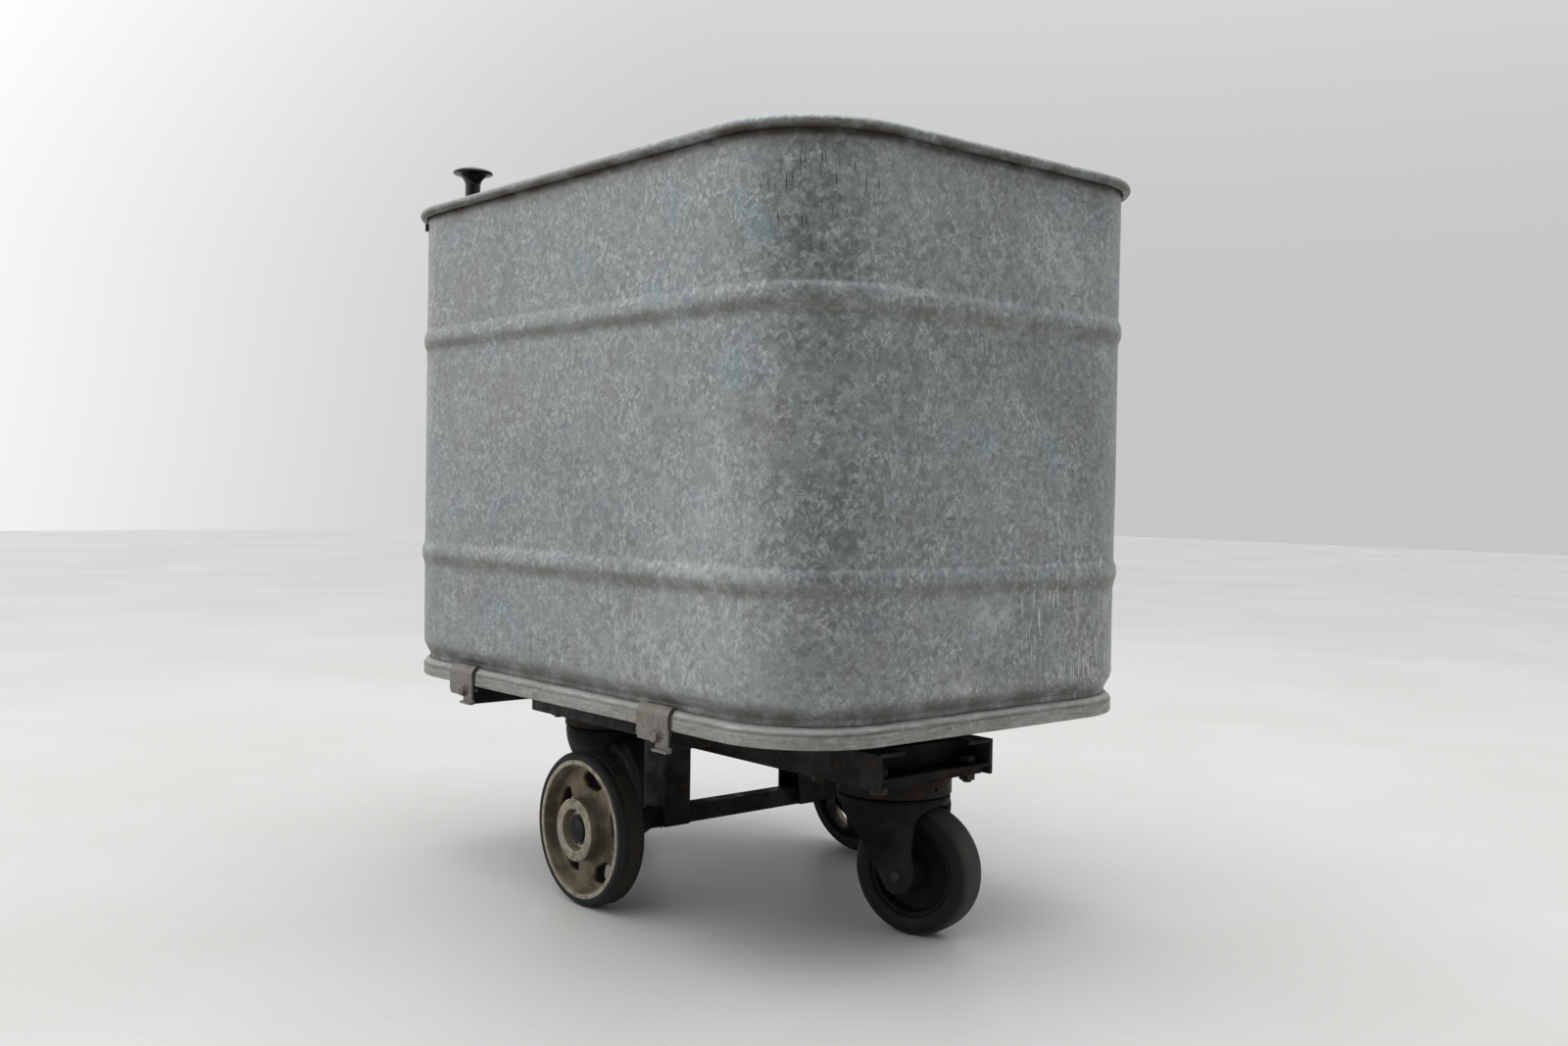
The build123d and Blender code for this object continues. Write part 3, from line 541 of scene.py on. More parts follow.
def black_steel(name, rust=0.5, base=(0.012, 0.012, 0.012), gloss=0.2):
    """Old black paint on rolled steel, with rust spots, dust and rubbed edges."""
    paint = Paint(name)
    paint.put(paint.shader["Specular IOR Level"], gloss)
    blotch = paint.noise(22, detail=6, rough=0.65)
    fine = paint.noise(3, moved=3.0)
    dust = [c * 2.1 + 0.006 for c in base]
    paint.colour = paint.mix(paint.patches(60, 0.42, 0.66, moved=6.0), base, dust)
    spots = paint.fade(blotch, 0.60 - 0.12 * rust, 0.74 - 0.10 * rust)
    rusty = paint.mix(fine, (0.055, 0.020, 0.008), (0.15, 0.062, 0.025))
    paint.layer(paint.times(spots, 0.55 + 0.4 * rust), rusty)
    edge = paint.times(paint.edges(1.6), paint.fade(fine, 0.42, 0.58))
    paint.layer(paint.times(edge, 0.5), (0.10, 0.075, 0.055))
    relief = paint.plus(fine, paint.times(blotch, 1.5))
    return paint.finish(paint.fade(blotch, 0.35, 0.65, 0.48, 0.82), relief, 0.4, 0.35)


def casting(name, base, worn, grime_and_shade):
    """Sand-cast iron: pitted skin, brown grime, painted shade over the inner side, bright where the wear
    number is high.
    """
    paint = Paint(name)
    paint.put(paint.shader["Specular IOR Level"], 0.3)
    skin = paint.noise(2.0, detail=5, rough=0.7)
    blotch = paint.noise(28, detail=5)
    paint.colour = paint.mix(paint.fade(blotch, 0.38, 0.62), base, grime_and_shade)
    paint.layer(paint.fade(skin, 0.52, 0.70, 0, 0.5), shaded(grime_and_shade, 0.45))
    rub = paint.times(paint.wear(), paint.patches(7, 0.30, 0.58, 0.25, 1.0, detail=5, moved=2.0))
    edge = paint.times(paint.edges(1.4), 0.55)
    outer = paint.fade(paint.axis("Z"), -5 * MM, 1 * MM)
    shine = paint.times(paint.calc("MAXIMUM", rub, edge), outer)
    paint.layer(shine, worn)
    # Painted shade: the inner side of the wheel (local z below zero) is darkened.
    paint.layer(paint.calc("SUBTRACT", 1.0, outer), shaded(grime_and_shade, 0.22))
    paint.put(paint.shader["Metallic"], paint.fade(shine, 0, 1, 0.25, 0.75))
    relief = paint.plus(skin, paint.times(blotch, 0.6))
    return paint.finish(paint.fade(shine, 0, 1, 0.72, 0.42), relief, 0.5, 0.5)


def rubber(name, base, tread):
    """Solid rubber: dull black flanks, and a dusty brown tread where the wear number is high."""
    paint = Paint(name)
    paint.put(paint.shader["Specular IOR Level"], 0.25)
    fine = paint.noise(1.6)
    cloud = paint.noise(24, detail=5, moved=2.0)
    paint.colour = paint.mix(paint.fade(cloud, 0.38, 0.64), base, shaded(base, 1.7))
    paint.layer(paint.times(paint.wear(), paint.fade(cloud, 0.32, 0.60, 0.45, 1.0)), tread)
    paint.layer(paint.fade(fine, 0.60, 0.75, 0, 0.35), shaded(base, 0.4))
    relief = paint.plus(fine, paint.times(cloud, 0.8))
    return paint.finish(paint.fade(cloud, 0.3, 0.7, 0.52, 0.78), relief, 0.35, 0.3)


def metal(name, base, stain, roughness, metallic=0.9):
    """Plain machined or pressed metal with stains."""
    paint = Paint(name, metallic)
    cloud = paint.noise(12, detail=5)
    grain = paint.noise(1.2, detail=3, moved=4.0)
    paint.colour = paint.mix(paint.fade(cloud, 0.48, 0.66, 0, 0.8), base, stain)
    paint.layer(paint.fade(grain, 0.5, 0.75, 0, 0.25), shaded(base, 1.4))
    matt = paint.fade(cloud, 0.35, 0.65, roughness - 0.08, roughness + 0.15)
    return paint.finish(matt, grain, 0.2, 0.15)


def moulded(name, base, roughness):
    """Moulded black plastic or rubber with faint swirls and dust."""
    paint = Paint(name)
    swirl = paint.noise(9)
    paint.colour = paint.mix(paint.fade(swirl, 0.4, 0.65), base, [c * 1.8 + 0.002 for c in base])
    paint.layer(paint.patches(1.5, 0.66, 0.80, 0, 0.25, detail=3, moved=2.0), (0.08, 0.075, 0.07))
    return paint.finish(paint.fade(swirl, 0.35, 0.65, roughness * 0.8, roughness * 1.3), swirl, 0.08, 0.2)


ZINC = zinc("galvanised_tub", (0.245, 0.266, 0.272), (0.49, 0.52, 0.525), (0.185, 0.200, 0.206), True)
CHIME = zinc("galvanised_band", (0.285, 0.290, 0.275), (0.43, 0.44, 0.42), (0.200, 0.200, 0.186),
             band=True, frost=0.65)
CLIP = zinc("galvanised_clip", (0.185, 0.176, 0.164), (0.33, 0.325, 0.31), (0.125, 0.112, 0.102), frost=0.5)
FRAME = black_steel("black_frame", 0.12, (0.010, 0.0095, 0.009))
BEARER = black_steel("black_bearer", 0.30, (0.0085, 0.0072, 0.0055), 0.14)
PRESSED = black_steel("black_pressed", 0.0, (0.0056, 0.0057, 0.0060), 0.10)
WELD = black_steel("weld_bead", 0.2, (0.010, 0.009, 0.008))
CAST = casting("wheel_casting", (0.205, 0.178, 0.124), (0.36, 0.335, 0.265), (0.098, 0.080, 0.054))
DARK_CAST = casting("caster_casting", (0.0045, 0.0045, 0.0045), (0.02, 0.019, 0.018),
                    (0.007, 0.0065, 0.006))
BAND = rubber("band_tyre", (0.0052, 0.0062, 0.0062), (0.028, 0.023, 0.018))
TYRE = rubber("caster_tyre_rubber", (0.0048, 0.0050, 0.0048), (0.042, 0.041, 0.036))
FASTENER = metal("rusty_fastener", (0.040, 0.034, 0.028), (0.026, 0.017, 0.011), 0.6, 0.4)
AXLE_END = metal("painted_axle_end", (0.016, 0.016, 0.016), (0.010, 0.009, 0.008), 0.6, 0.2)
CLIP_BOLT = metal("clip_fastener", (0.215, 0.205, 0.190), (0.105, 0.082, 0.064), 0.5, 0.6)
STEEL = metal("bright_steel", (0.42, 0.41, 0.40), (0.24, 0.21, 0.18), 0.3)
WIRE = metal("rim_wire_steel", (0.25, 0.25, 0.24), (0.12, 0.09, 0.07), 0.45, 0.8)
BRONZE = metal("bush_bronze", (0.40, 0.26, 0.11), (0.16, 0.09, 0.04), 0.35)
BRASS = metal("drain_brass", (0.48, 0.34, 0.14), (0.22, 0.17, 0.09), 0.32)
KNOB = moulded("knob_black", (0.0035, 0.0035, 0.0035), 0.22)
SEAL = moulded("seal_rubber", (0.016, 0.016, 0.016), 0.6)


# ---------------- tub

def bead_height(z):
    """How far a swaged bead stands out at height z."""
    near = min(abs(z - middle_z) for middle_z in BEADS)
    curve = (BEAD_HALF ** 2 + BEAD_PROUD ** 2) / (2 * BEAD_PROUD)
    height = math.sqrt(max(0.0, curve ** 2 - near ** 2)) - curve + BEAD_PROUD
    crease = 2.6
    return math.log1p(math.exp(height * crease)) / crease if near < 2 * BEAD_HALF else 0.0


def wall_line():
    """Outer face of the wall sheet from the base, up past the beads and over the rim wire."""
    roll_z = RIM_TOP - WIRE_SPACE - SHEET
    foot = NECK_TOP - NECK_RISE
    start_z = NECK_TOP + 8
    neck = [(-NECK_DEPTH, BASE_Z + 4, 0), (-NECK_DEPTH, foot + 4, 5)]
    neck += [(-1.4, NECK_TOP + 1, 7), (0, start_z, 0)]
    line = divided(rounded(neck, 7, closed=False), 6)
    z = start_z
    while z < roll_z - 9:
        near = min(abs(z - middle_z) for middle_z in BEADS)
        z += 1.9 if near < BEAD_HALF + 5 else 9.0
        line.append((bead_height(z), z))
    return line + arc(WIRE_SPACE, roll_z, WIRE_SPACE, 180, math.degrees(ROLL_END), 20)


DENTS = (((455, 40, 700), 60, -1.0), ((-120, -309, 620), 90, 0.8), ((150, 309, 560), 80, -1.0),
         ((-455, 90, 380), 55, -0.9), ((230, -309, 640), 70, -0.7))


def wall_swell(base, up):
    """Slow unevenness of the hand-worked sheet, fading out at the rim and the base."""
    spot = Vector((base.x, base.y, up))
    still = smooth(up, BASE_Z + 40, BASE_Z + 110) * (1 - smooth(up, RIM_TOP - 90, RIM_TOP - 25))
    wave = 0.9 * noise.noise(spot / 240) + 0.35 * noise.noise(spot / 85 + Vector((5, 3, 1)))
    for centre, reach, depth in DENTS:
        wave += depth * math.exp(-((spot - Vector(centre)).length / reach) ** 2)
    return wave * still


def tub():
    section = thickened(wall_line(), SHEET)
    shell = Part("tub_shell").add(round_the_tub(section, 10.0, wall_swell))
    shell.make(CHASSIS, ZINC, "galvanised_sheet", ["tub_wall"])
    top = BASE_Z
    section = [(-9, top + 25.5, 0.5), (-2.5, top + 20.5, 3), (0, top + 16.5, 2.5), (0, top, 2.2)]
    section += [(-8, top, 0.4), (-8, top + 2, 0.4), (-2, top + 2, 1), (-2, top + 15.8, 1.5)]
    section += [(-3.8, top + 18.8, 1.5), (-9, top + 22.8, 0.5)]

    def ripple(base, up):
        return 0.35 * noise.noise(Vector((base.x, base.y, up)) / 45)

    band = Part("chime_band").add(round_the_tub(divided(rounded(section, 4), 5, True), 7.0, ripple))
    band.make(CHASSIS, CHIME, "galvanised_sheet", ["chime_hoop"])


# ---------------- clips and their bolts

CLIP_STEEL = 3.0
CLIP_GAP = 0.2
CLIP_BOLT_X = 40
CLIP_BOLT_DROP = 8
CLIP_FACE_BOTTOM = -18.0
TONGUE_START = 37
LUG_INNER_Y = 304.0


def clip_path():
    """Inner face of a clip from its hook over the chime down to the lip, as (outward, up)."""
    corners = [(-6.6, 24.7, 0), (-2.1, 21.2, 4), (CLIP_GAP, 17, 5), (CLIP_GAP, -25, 2.6), (8.6, -25, 0)]
    return divided(rounded(corners, 6, closed=False), 4)


def clip(end_name, side_name):
    """Pressed clip: hook, flat face and a narrower tongue that ends in a wider lip turned out."""
    side = SIDES[side_name]
    node = f"clip_{end_name}_{side_name}"
    left, right = (corner.x for corner in span(node))
    columns = [left + (right - left) * k / 24 for k in range(25)] + [right + 2.5, right + 5]
    path = clip_path()
    outer = thickened(path, CLIP_STEEL)[len(path):][::-1]
    rows = len(path)
    last_full = max(row for row in range(rows) if path[row][1] > CLIP_FACE_BOTTOM)
    points = []
    for skin in (path, outer):
        for x in columns:
            for out, up in skin:
                bend = 0.25 * noise.noise(Vector((x / 30, side, up / 30)))
                points.append((x, side * (HALF_W + out + bend), BASE_Z + up))

    def index(skin, spot):
        return (skin * len(columns) + spot[0]) * rows + spot[1]

    cells = set()
    for column, x in enumerate(columns[:-1]):
        for row in range(rows - 1):
            in_tongue = x >= left + TONGUE_START
            corner_cut = row >= last_full - 1 and column == 0
            beyond = x > right - 0.1 and row < last_full + 1
            if (row < last_full or in_tongue) and not corner_cut and not beyond:
                cells.add((column, row))
    faces = []
    for column, row in cells:
        corners = [(column, row), (column + 1, row), (column + 1, row + 1), (column, row + 1)]
        faces += [tuple(index(skin, corner) for corner in corners) for skin in (0, 1)]
        beside = [(column, row - 1), (column + 1, row), (column, row + 1), (column - 1, row)]
        for number, other in enumerate(beside):
            if other not in cells:
                start, end = corners[number], corners[(number + 1) % 4]
                faces.append((index(0, start), index(0, end), index(1, end), index(1, start)))
    used = sorted({i for face in faces for i in face})
    renumber = {old: new for new, old in enumerate(used)}
    part = Part(f"clip_plate_{end_name}_{side_name}")
    part.add(([points[i] for i in used], [tuple(renumber[i] for i in face) for face in faces]))
    soften(part.make(CHASSIS, CLIP, "galvanised_clip", [node], sharp_deg=50), 0.6)


def clip_fasteners():
    """Hexagon bolts with washers outside the clips, and nuts behind the lugs."""
    bolts = Part("clip_bolt_set")
    nuts = Part("clip_nut_set")
    head, reach, radius = 5.5, 20.0, 4.0
    washer = [(4.2, 0, 0), (8.2, 0, 0.3), (8.2, 1.3, 0.4), (4.2, 1.3, 0)]
    for end_name, end in ENDS.items():
        for side_name, side in SIDES.items():
            x = span(f"clip_{end_name}_{side_name}")[0].x + CLIP_BOLT_X
            z = BASE_Z - CLIP_BOLT_DROP
            face = side * (HALF_W + CLIP_GAP + CLIP_STEEL)
            spot = facing_y(x, face, z, side) @ turn(17 * end + 9 * side, "Z")
            bolts.add(lathe(rounded(washer, 3), 48, True), spot)
            bolts.add(hexagon(13, head - 1.2), spot @ shift(0, 0, 1.3))
            bolts.add(shank(radius, -reach, 0), spot)
            back = facing_y(x, side * LUG_INNER_Y, z, side) @ turn(180, "X") @ turn(23 * side, "Z")
            nuts.add(hexagon(13, 6.5, 4.1), back)
    bolts.make(CHASSIS, CLIP_BOLT, "zinc_fastener", ["clip_bolts"])
    nuts.make(CHASSIS, CLIP_BOLT, "zinc_fastener", ["clip_nuts"])


# ---------------- undercarriage

def soften(obj, width, segments=2):
    """Round an object's hard edges without changing its mesh."""
    weld = obj.modifiers.new("weld", "WELD")
    weld.merge_threshold = 0.00002
    bevel = obj.modifiers.new("edge", "BEVEL")
    bevel.width = width * MM
    bevel.segments = segments
    bevel.limit_method = "ANGLE"
    bevel.angle_limit = math.radians(40)
    bevel.harden_normals = True


def dress(node, material, bevel=0.0):
    """Give a CAD node its material and, on rolled or machined edges, a small round."""
    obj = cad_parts[node]
    obj.data.materials.clear()
    obj.data.materials.append(material)
    if bevel:
        soften(obj, bevel)


def undercarriage():
    for side_name in SIDES:
        dress(f"rail_{side_name}", FRAME, 1.6)
        dress(f"axle_leg_{side_name}", FRAME, 1.4)
    for end_name in ENDS:
        dress(f"cross_member_{end_name}", FRAME, 1.2)
        dress(f"{end_name}_caster_bearers", BEARER, 1.4)
        dress(f"{end_name}_top_plate", BEARER, 1.0)
    dress("axle_beam", FRAME, 0.8)


PLATE_BOLT_X = 52
PLATE_BOLT_Y = {"front": 78.0, "rear": 66.0}


def plate_fasteners():
    """Large bolts down through the caster plates, and their nuts."""
    bolts = Part("plate_bolt_set")
    nuts = Part("plate_nut_set")
    low, high = span("top_plate_bolts")
    nut_top = span("top_plate_nuts")[1].z
    head = 8.0
    for end_name, end in ENDS.items():
        centre = middle(f"{end_name}_kingpin")
        for way in (-1, 1):
            for side in (-1, 1):
                x = centre.x + way * PLATE_BOLT_X
                y = centre.y + side * PLATE_BOLT_Y[end_name]
                angle = 31 * way + 14 * side + 7 * end
                spot = shift(x, y, high.z - head) @ turn(angle, "Z")
                bolts.add(hexagon(19, head), spot)
                bolts.add(shank(6.0, low.z - high.z + head, 0), spot)
                under = shift(x, y, nut_top) @ turn(180, "X") @ turn(angle + 20, "Z")
                nuts.add(hexagon(19, 10, 6.1), under)
    bolts.make(CHASSIS, FASTENER, "zinc_fastener", ["top_plate_bolts"])
    nuts.make(CHASSIS, FASTENER, "zinc_fastener", ["top_plate_nuts"])


WELD_RADIUS = 1.7
LEG_WELD_RADIUS = 1.8
BEARER_WEB_Y = 95
BEARER_WEB_Z = (204, 232)


def welds():
    """Weld beads where the rolled sections of the undercarriage meet."""
    beads = Part("frame_welds")
    seed = 0
    for side_name, side in SIDES.items():
        leg_low, leg_high = span(f"axle_leg_{side_name}")
        beam_low, beam_high = span("axle_beam")
        rail_low, rail_high = span(f"rail_{side_name}")
        face = rail_low.y if side < 0 else rail_high.y
        web = leg_low.y if side < 0 else leg_high.y
        for x in (leg_low.x, leg_high.x):
            beads.add(seam((x, face, rail_low.z + 2), (x, face, leg_high.z - 3), LEG_WELD_RADIUS, seed))
            seed += 1
        for x in (beam_low.x, beam_high.x):
            beads.add(seam((x, web, beam_low.z + 3), (x, web, beam_high.z), WELD_RADIUS, seed))
            seed += 1
        beads.add(seam((beam_low.x, web, beam_high.z), (beam_high.x, web, beam_high.z), WELD_RADIUS, seed))
        for end_name in ENDS:
            web_x = span(f"cross_member_{end_name}")[0].x
            for x in (web_x + 26, web_x + 30):
                seed += 1
                start, end = (x, face - side * 43, rail_high.z), (x, face - side * 3, rail_high.z)
                beads.add(seam(start, end, WELD_RADIUS, seed))
    for end_name in ENDS:
        low, high = span(f"{end_name}_caster_bearers")
        for side in (-1, 1):
            for x in (low.x, high.x):
                seed += 1
                start, end = ((x, side * BEARER_WEB_Y, z) for z in BEARER_WEB_Z)
                beads.add(seam(start, end, WELD_RADIUS, seed))
    beads.make(CHASSIS, WELD, "black_steel", sharp_deg=70)


# ---------------- fixed wheels

WHEEL = {"radius": 100.0, "half": 19.0, "rim": 90.0, "hub": 41.0, "recess": 27.0, "bore": 20.0}
HUB_IN = -23.0
HUB_OUT = 26.0
HUB_FLOOR = HUB_OUT - 12.0
WEB_FRONT = 2.0
WEB_BACK = -6.0
WEB_INNER = 49.0
WEB_OUTER = 76.5
WINDOWS = 5
WHEEL_REST_DEG = 6.0
WHEEL_STEPS = 160


def window_outline():
    """Six-sided window with rounded corners, pointing outwards along +Y."""
    corners = [(-13, 51, 3), (13, 51, 3), (23, 61.5, 3), (18.5, 69, 3), (9.5, 74, 4), (-9.5, 74, 4)]
    corners += [(-18.5, 69, 3), (-23, 61.5, 3)]
    return divided(rounded(corners, 5), 1.5, True)


def ray_hit(centre, direction, outline):
    """Where a ray from inside a closed outline leaves it."""
    best = None
    for a, b in zip(outline, outline[1:] + outline[:1]):
        a, b = Vector(a), Vector(b)
        edge = b - a
        cross = direction.x * edge.y - direction.y * edge.x
        if abs(cross) < 1e-9:
            continue
        gap = a - centre
        along = (gap.x * edge.y - gap.y * edge.x) / cross
        share = (gap.x * direction.y - gap.y * direction.x) / cross
        if along > 0 and -1e-6 <= share <= 1 + 1e-6 and (best is None or along < best):
            best = along
    return centre + direction * best


def web_sector():
    """One fifth of the web: rings run from its edge into a window with a cast lip round its back."""
    steps = WHEEL_STEPS // WINDOWS
    half = 360 / WINDOWS / 2
    inner = arc(0, 0, WEB_INNER, 90 - half, 90 + half, steps)
    outer = arc(0, 0, WEB_OUTER, 90 + half, 90 - half, steps)
    border = inner + divided([inner[-1], outer[0]], 4)[1:-1]
    border += outer + divided([outer[-1], inner[0]], 4)[1:-1]
    centre = Vector((0, 63))
    window = window_outline()
    edge_round = 2.2
    lip = 11.0
    rings = []
    outward = [(Vector(p) - centre).normalized() for p in border]
    hits = [ray_hit(centre, way, window) for way in outward]
    for share in (0, 0.25, 0.5, 0.75, 1.0):
        rings.append([(Vector(p).lerp(hit + way * edge_round, share), 0.0)
                      for p, hit, way in zip(border, hits, outward)])
    for step in range(1, 5):
        angle = math.pi / 2 * step / 4
        back = edge_round * (1 - math.sin(angle))
        drop = edge_round * (1 - math.cos(angle))
        rings.append([(hit + way * back, drop) for hit, way in zip(hits, outward)])
    points = [(spot.x, spot.y, WEB_FRONT - drop) for ring in rings for spot, drop in ring]
    for number in range(len(rings) - 1, -1, -1):
        back = WEB_BACK - lip * smooth(number, 0.5, 3.0)
        points += [(spot.x, spot.y, back + drop) for spot, drop in rings[number]]
    return points, grid_faces(2 * len(rings), len(border), False, True)


def casting_wear(point):
    """Worn metal on the rim's face ring and on the hub's outer ring."""
    radius = math.hypot(point.x, point.y)
    if radius > 84:
        return smooth(abs(point.z), 17.6, 18.8) * 0.85
    if 26 < radius < 42:
        return smooth(point.z, 24.0, 25.6) * 0.7
    return 0.0


def wheel_centre(side_name):
    side = SIDES[side_name]
    hub, rim, half = WHEEL["hub"], WHEEL["rim"], WHEEL["half"]
    part = Part(f"wheel_casting_{side_name}")
    recess, bore = WHEEL["recess"], WHEEL["bore"]
    inside = [(WEB_INNER, WEB_FRONT, 0), (hub + 3.5, WEB_FRONT, 6), (hub, WEB_FRONT + 9, 8)]
    inside += [(hub, HUB_OUT, 2.0), (recess, HUB_OUT, 1.6), (recess - 1, HUB_FLOOR, 2.0)]
    inside += [(bore, HUB_FLOOR, 0.8), (bore, HUB_IN, 0.8), (hub - 4, HUB_IN, 2)]
    inside += [(hub + 2, WEB_BACK, 7), (WEB_INNER, WEB_BACK, 0)]
    rest = turn(90 - 180 / WINDOWS - WHEEL_REST_DEG, "Z")
    part.add(lathe(divided(rounded(inside, 6, closed=False), 4), WHEEL_STEPS), rest, casting_wear)
    outside = [(WEB_OUTER, WEB_BACK, 0), (78, WEB_BACK, 3), (83, -half, 2.2), (rim, -half, 0.8)]
    outside += [(rim, half, 0.8), (83, half, 2.4), (78.5, WEB_FRONT, 7), (WEB_OUTER, WEB_FRONT, 0)]
    part.add(lathe(divided(rounded(outside, 6, closed=False), 4), WHEEL_STEPS), rest, casting_wear)
    for number in range(WINDOWS):
        part.add(web_sector(), turn(360 / WINDOWS * number - WHEEL_REST_DEG, "Z"))
    for point in part.points:
        rough = noise.noise(point * 0.16 + Vector((side, 2, 3))) * 0.28 + noise.noise(point * 0.5) * 0.10
        radius = math.hypot(point.x, point.y)
        if bore + 1 < radius < rim - 1:
            point.z += rough
    spot = middle(f"wheel_tyre_{side_name}")
    place = facing_y(spot.x, spot.y, spot.z, side) @ turn(0 if side < 0 else 180, "Z")
    part.make(f"{side_name}_wheel", CAST, "cast_wheel", [f"wheel_centre_{side_name}"], place, 45, 0.05)
    tyre(side_name, place)


def tyre(side_name, place):
    """Rubber band with round shoulders and a worn groove."""
    rim, radius, half = WHEEL["rim"], WHEEL["radius"], WHEEL["half"]
    outline = [(rim, -half, 0.3), (radius - 4, -half, 2), (radius, -half + 5, 5), (radius, 4, 0.6)]
    outline += [(radius - 1.2, 5, 0.6), (radius - 1.2, 7, 0.6), (radius, 8, 0.6), (radius, half - 5, 5)]
    outline += [(radius - 4, half, 2), (rim, half, 0.3)]

    def tread(point):
        outermost = smooth(math.hypot(point.x, point.y), radius - 2.6, radius - 0.8)
        return outermost * (1 - 0.5 * smooth(abs(point.z), 9, 15))

    part = Part(f"band_tyre_{side_name}")
    part.add(lathe(divided(rounded(outline, 6), 3, True), 200, True), None, tread)
    part.make(f"{side_name}_wheel", BAND, "band_rubber", [f"wheel_tyre_{side_name}"], place, 50)


# ---------------- casters

CASTER = {"trail": 37.0, "radius": 80.0, "half": 25.0, "rim": 56.0, "crown": 71.0, "crown_top": 172.0}
REST_DEG = {"front": 14.0, "rear": -2.0}
FORK_STEEL = 5.0
BLADE_Y = 54.0
EYE = 22.0
FORK_BEND = 112.0


def swivel_place(end_name):
    centre = middle(f"{end_name}_kingpin")
    return shift(centre.x, centre.y, 0) @ turn(REST_DEG[end_name], "Z")


def blade_edges(z):
    """Rear and front edge of a fork blade at height z, measured along the trail."""
    trail, axle = CASTER["trail"], CASTER["radius"]
    rear_top, rear_z = -44.0, CASTER["crown_top"] - 8
    lean = math.atan2(trail - rear_top, rear_z - axle)
    reach = math.hypot(trail - rear_top, rear_z - axle)
    swing = lean + math.asin(EYE / reach)
    touch_x, touch_z = trail - EYE * math.cos(swing), axle - EYE * math.sin(swing)
    if z > touch_z:
        rear = touch_x + (rear_top - touch_x) * (z - touch_z) / (rear_z - touch_z)
    else:
        rear = trail - math.sqrt(max(0.0, EYE ** 2 - (z - axle) ** 2))
    if z > axle:
        front = trail + EYE - 4 * smooth(z, axle, 128)
        flare = 24.0
        lift = z - (rear_z - flare)
        if lift > 0:
            front += flare - math.sqrt(max(0.0, flare ** 2 - min(lift, flare) ** 2))
    else:
        front = trail + math.sqrt(max(0.0, EYE ** 2 - (z - axle) ** 2))
    limit = CASTER["crown"] - 3
    return max(rear, -limit), min(front, limit)


def blade(side):
    """One fork leg: curved under the crown, flat at the axle, with a rounded end."""
    top = CASTER["crown_top"] - 6
    axle = CASTER["radius"]
    heights = [top + (axle - top) * k / 30 for k in range(31)]
    heights += [axle - EYE * math.sin(math.pi / 2 * k / 12) * 0.999 for k in range(1, 13)]
    columns = 24
    skins = []
    for inset in (0.0, FORK_STEEL):
        rows = []
        for z in heights:
            rear, front = blade_edges(z)
            sink = min(1.0, max(0.0, (z - FORK_BEND) / (top - 2 - FORK_BEND)))
            for column in range(columns + 1):
                x = rear + (front - rear) * column / columns
                round_y = math.sqrt(max(0.0, (CASTER["crown"] - inset) ** 2 - x * x))
                flat_y = BLADE_Y - inset
                rows.append((x, side * (flat_y + (round_y - flat_y) * sink), z))
        skins.append(rows)
    width = columns + 1
    count = len(heights)
    faces = grid_faces(count, width, False, False)
    offset = len(skins[0])
    faces += [tuple(i + offset for i in face) for face in faces]
    rim = [row * width for row in range(count)] + [(count - 1) * width + c for c in range(1, width)]
    rim += [row * width + columns for row in range(count - 2, -1, -1)] + list(range(columns - 1, 0, -1))
    for a, b in zip(rim, rim[1:] + rim[:1]):
        faces.append((a, b, b + offset, a + offset))
    return skins[0] + skins[1], faces


def fork(end_name):
    """Pressed fork of a crown with a turned-down lip and two legs, its axle bolt and its wheel."""
    crown, top = CASTER["crown"], CASTER["crown_top"]
    part = Part(f"{end_name}_fork_pressing")
    lip = [(8.2, top, 0), (50, top, 0.5), (50, top + 7, 1.5), (64, top + 7, 1.5), (64, top, 0.6)]
    lip += [(crown, top, 5), (crown, top - 10, 0.8), (crown - 5, top - 10, 0.8), (crown - 5, top - 6, 2)]
    lip += [(8.2, top - 6, 0)]
    part.add(lathe(rounded(lip, 5), 144, True))
    for side in (-1, 1):
        part.add(blade(side))
    place = swivel_place(end_name)
    part.make(f"{end_name}_swivel", PRESSED, "black_steel", [f"{end_name}_fork"], place, 42)
    axle = Part(f"{end_name}_axle_bolt_set")
    head = shift(CASTER["trail"], -BLADE_Y, CASTER["radius"]) @ turn(90, "X")
    dome = [(7.5, 0, 0), (7.5, 1.6, 0.8), (5.4, 3.8, 3), (2.6, 4.0, 0.8), (2.2, 3.3, 0.5), (0, 3.3, 0)]
    axle.add(lathe(rounded(dome, 4, closed=False), 48), head)
    axle.add(shank(6, -2 * BLADE_Y - 13, 0), head)
    tail = shift(CASTER["trail"], BLADE_Y, CASTER["radius"]) @ turn(-90, "X")
    axle.add(hexagon(18, 9, 6.1), tail @ turn(40, "Z"))
    axle.make(f"{end_name}_swivel", AXLE_END, "zinc_fastener", [f"{end_name}_caster_axle_bolt"], place)
    caster_wheel(end_name, place)


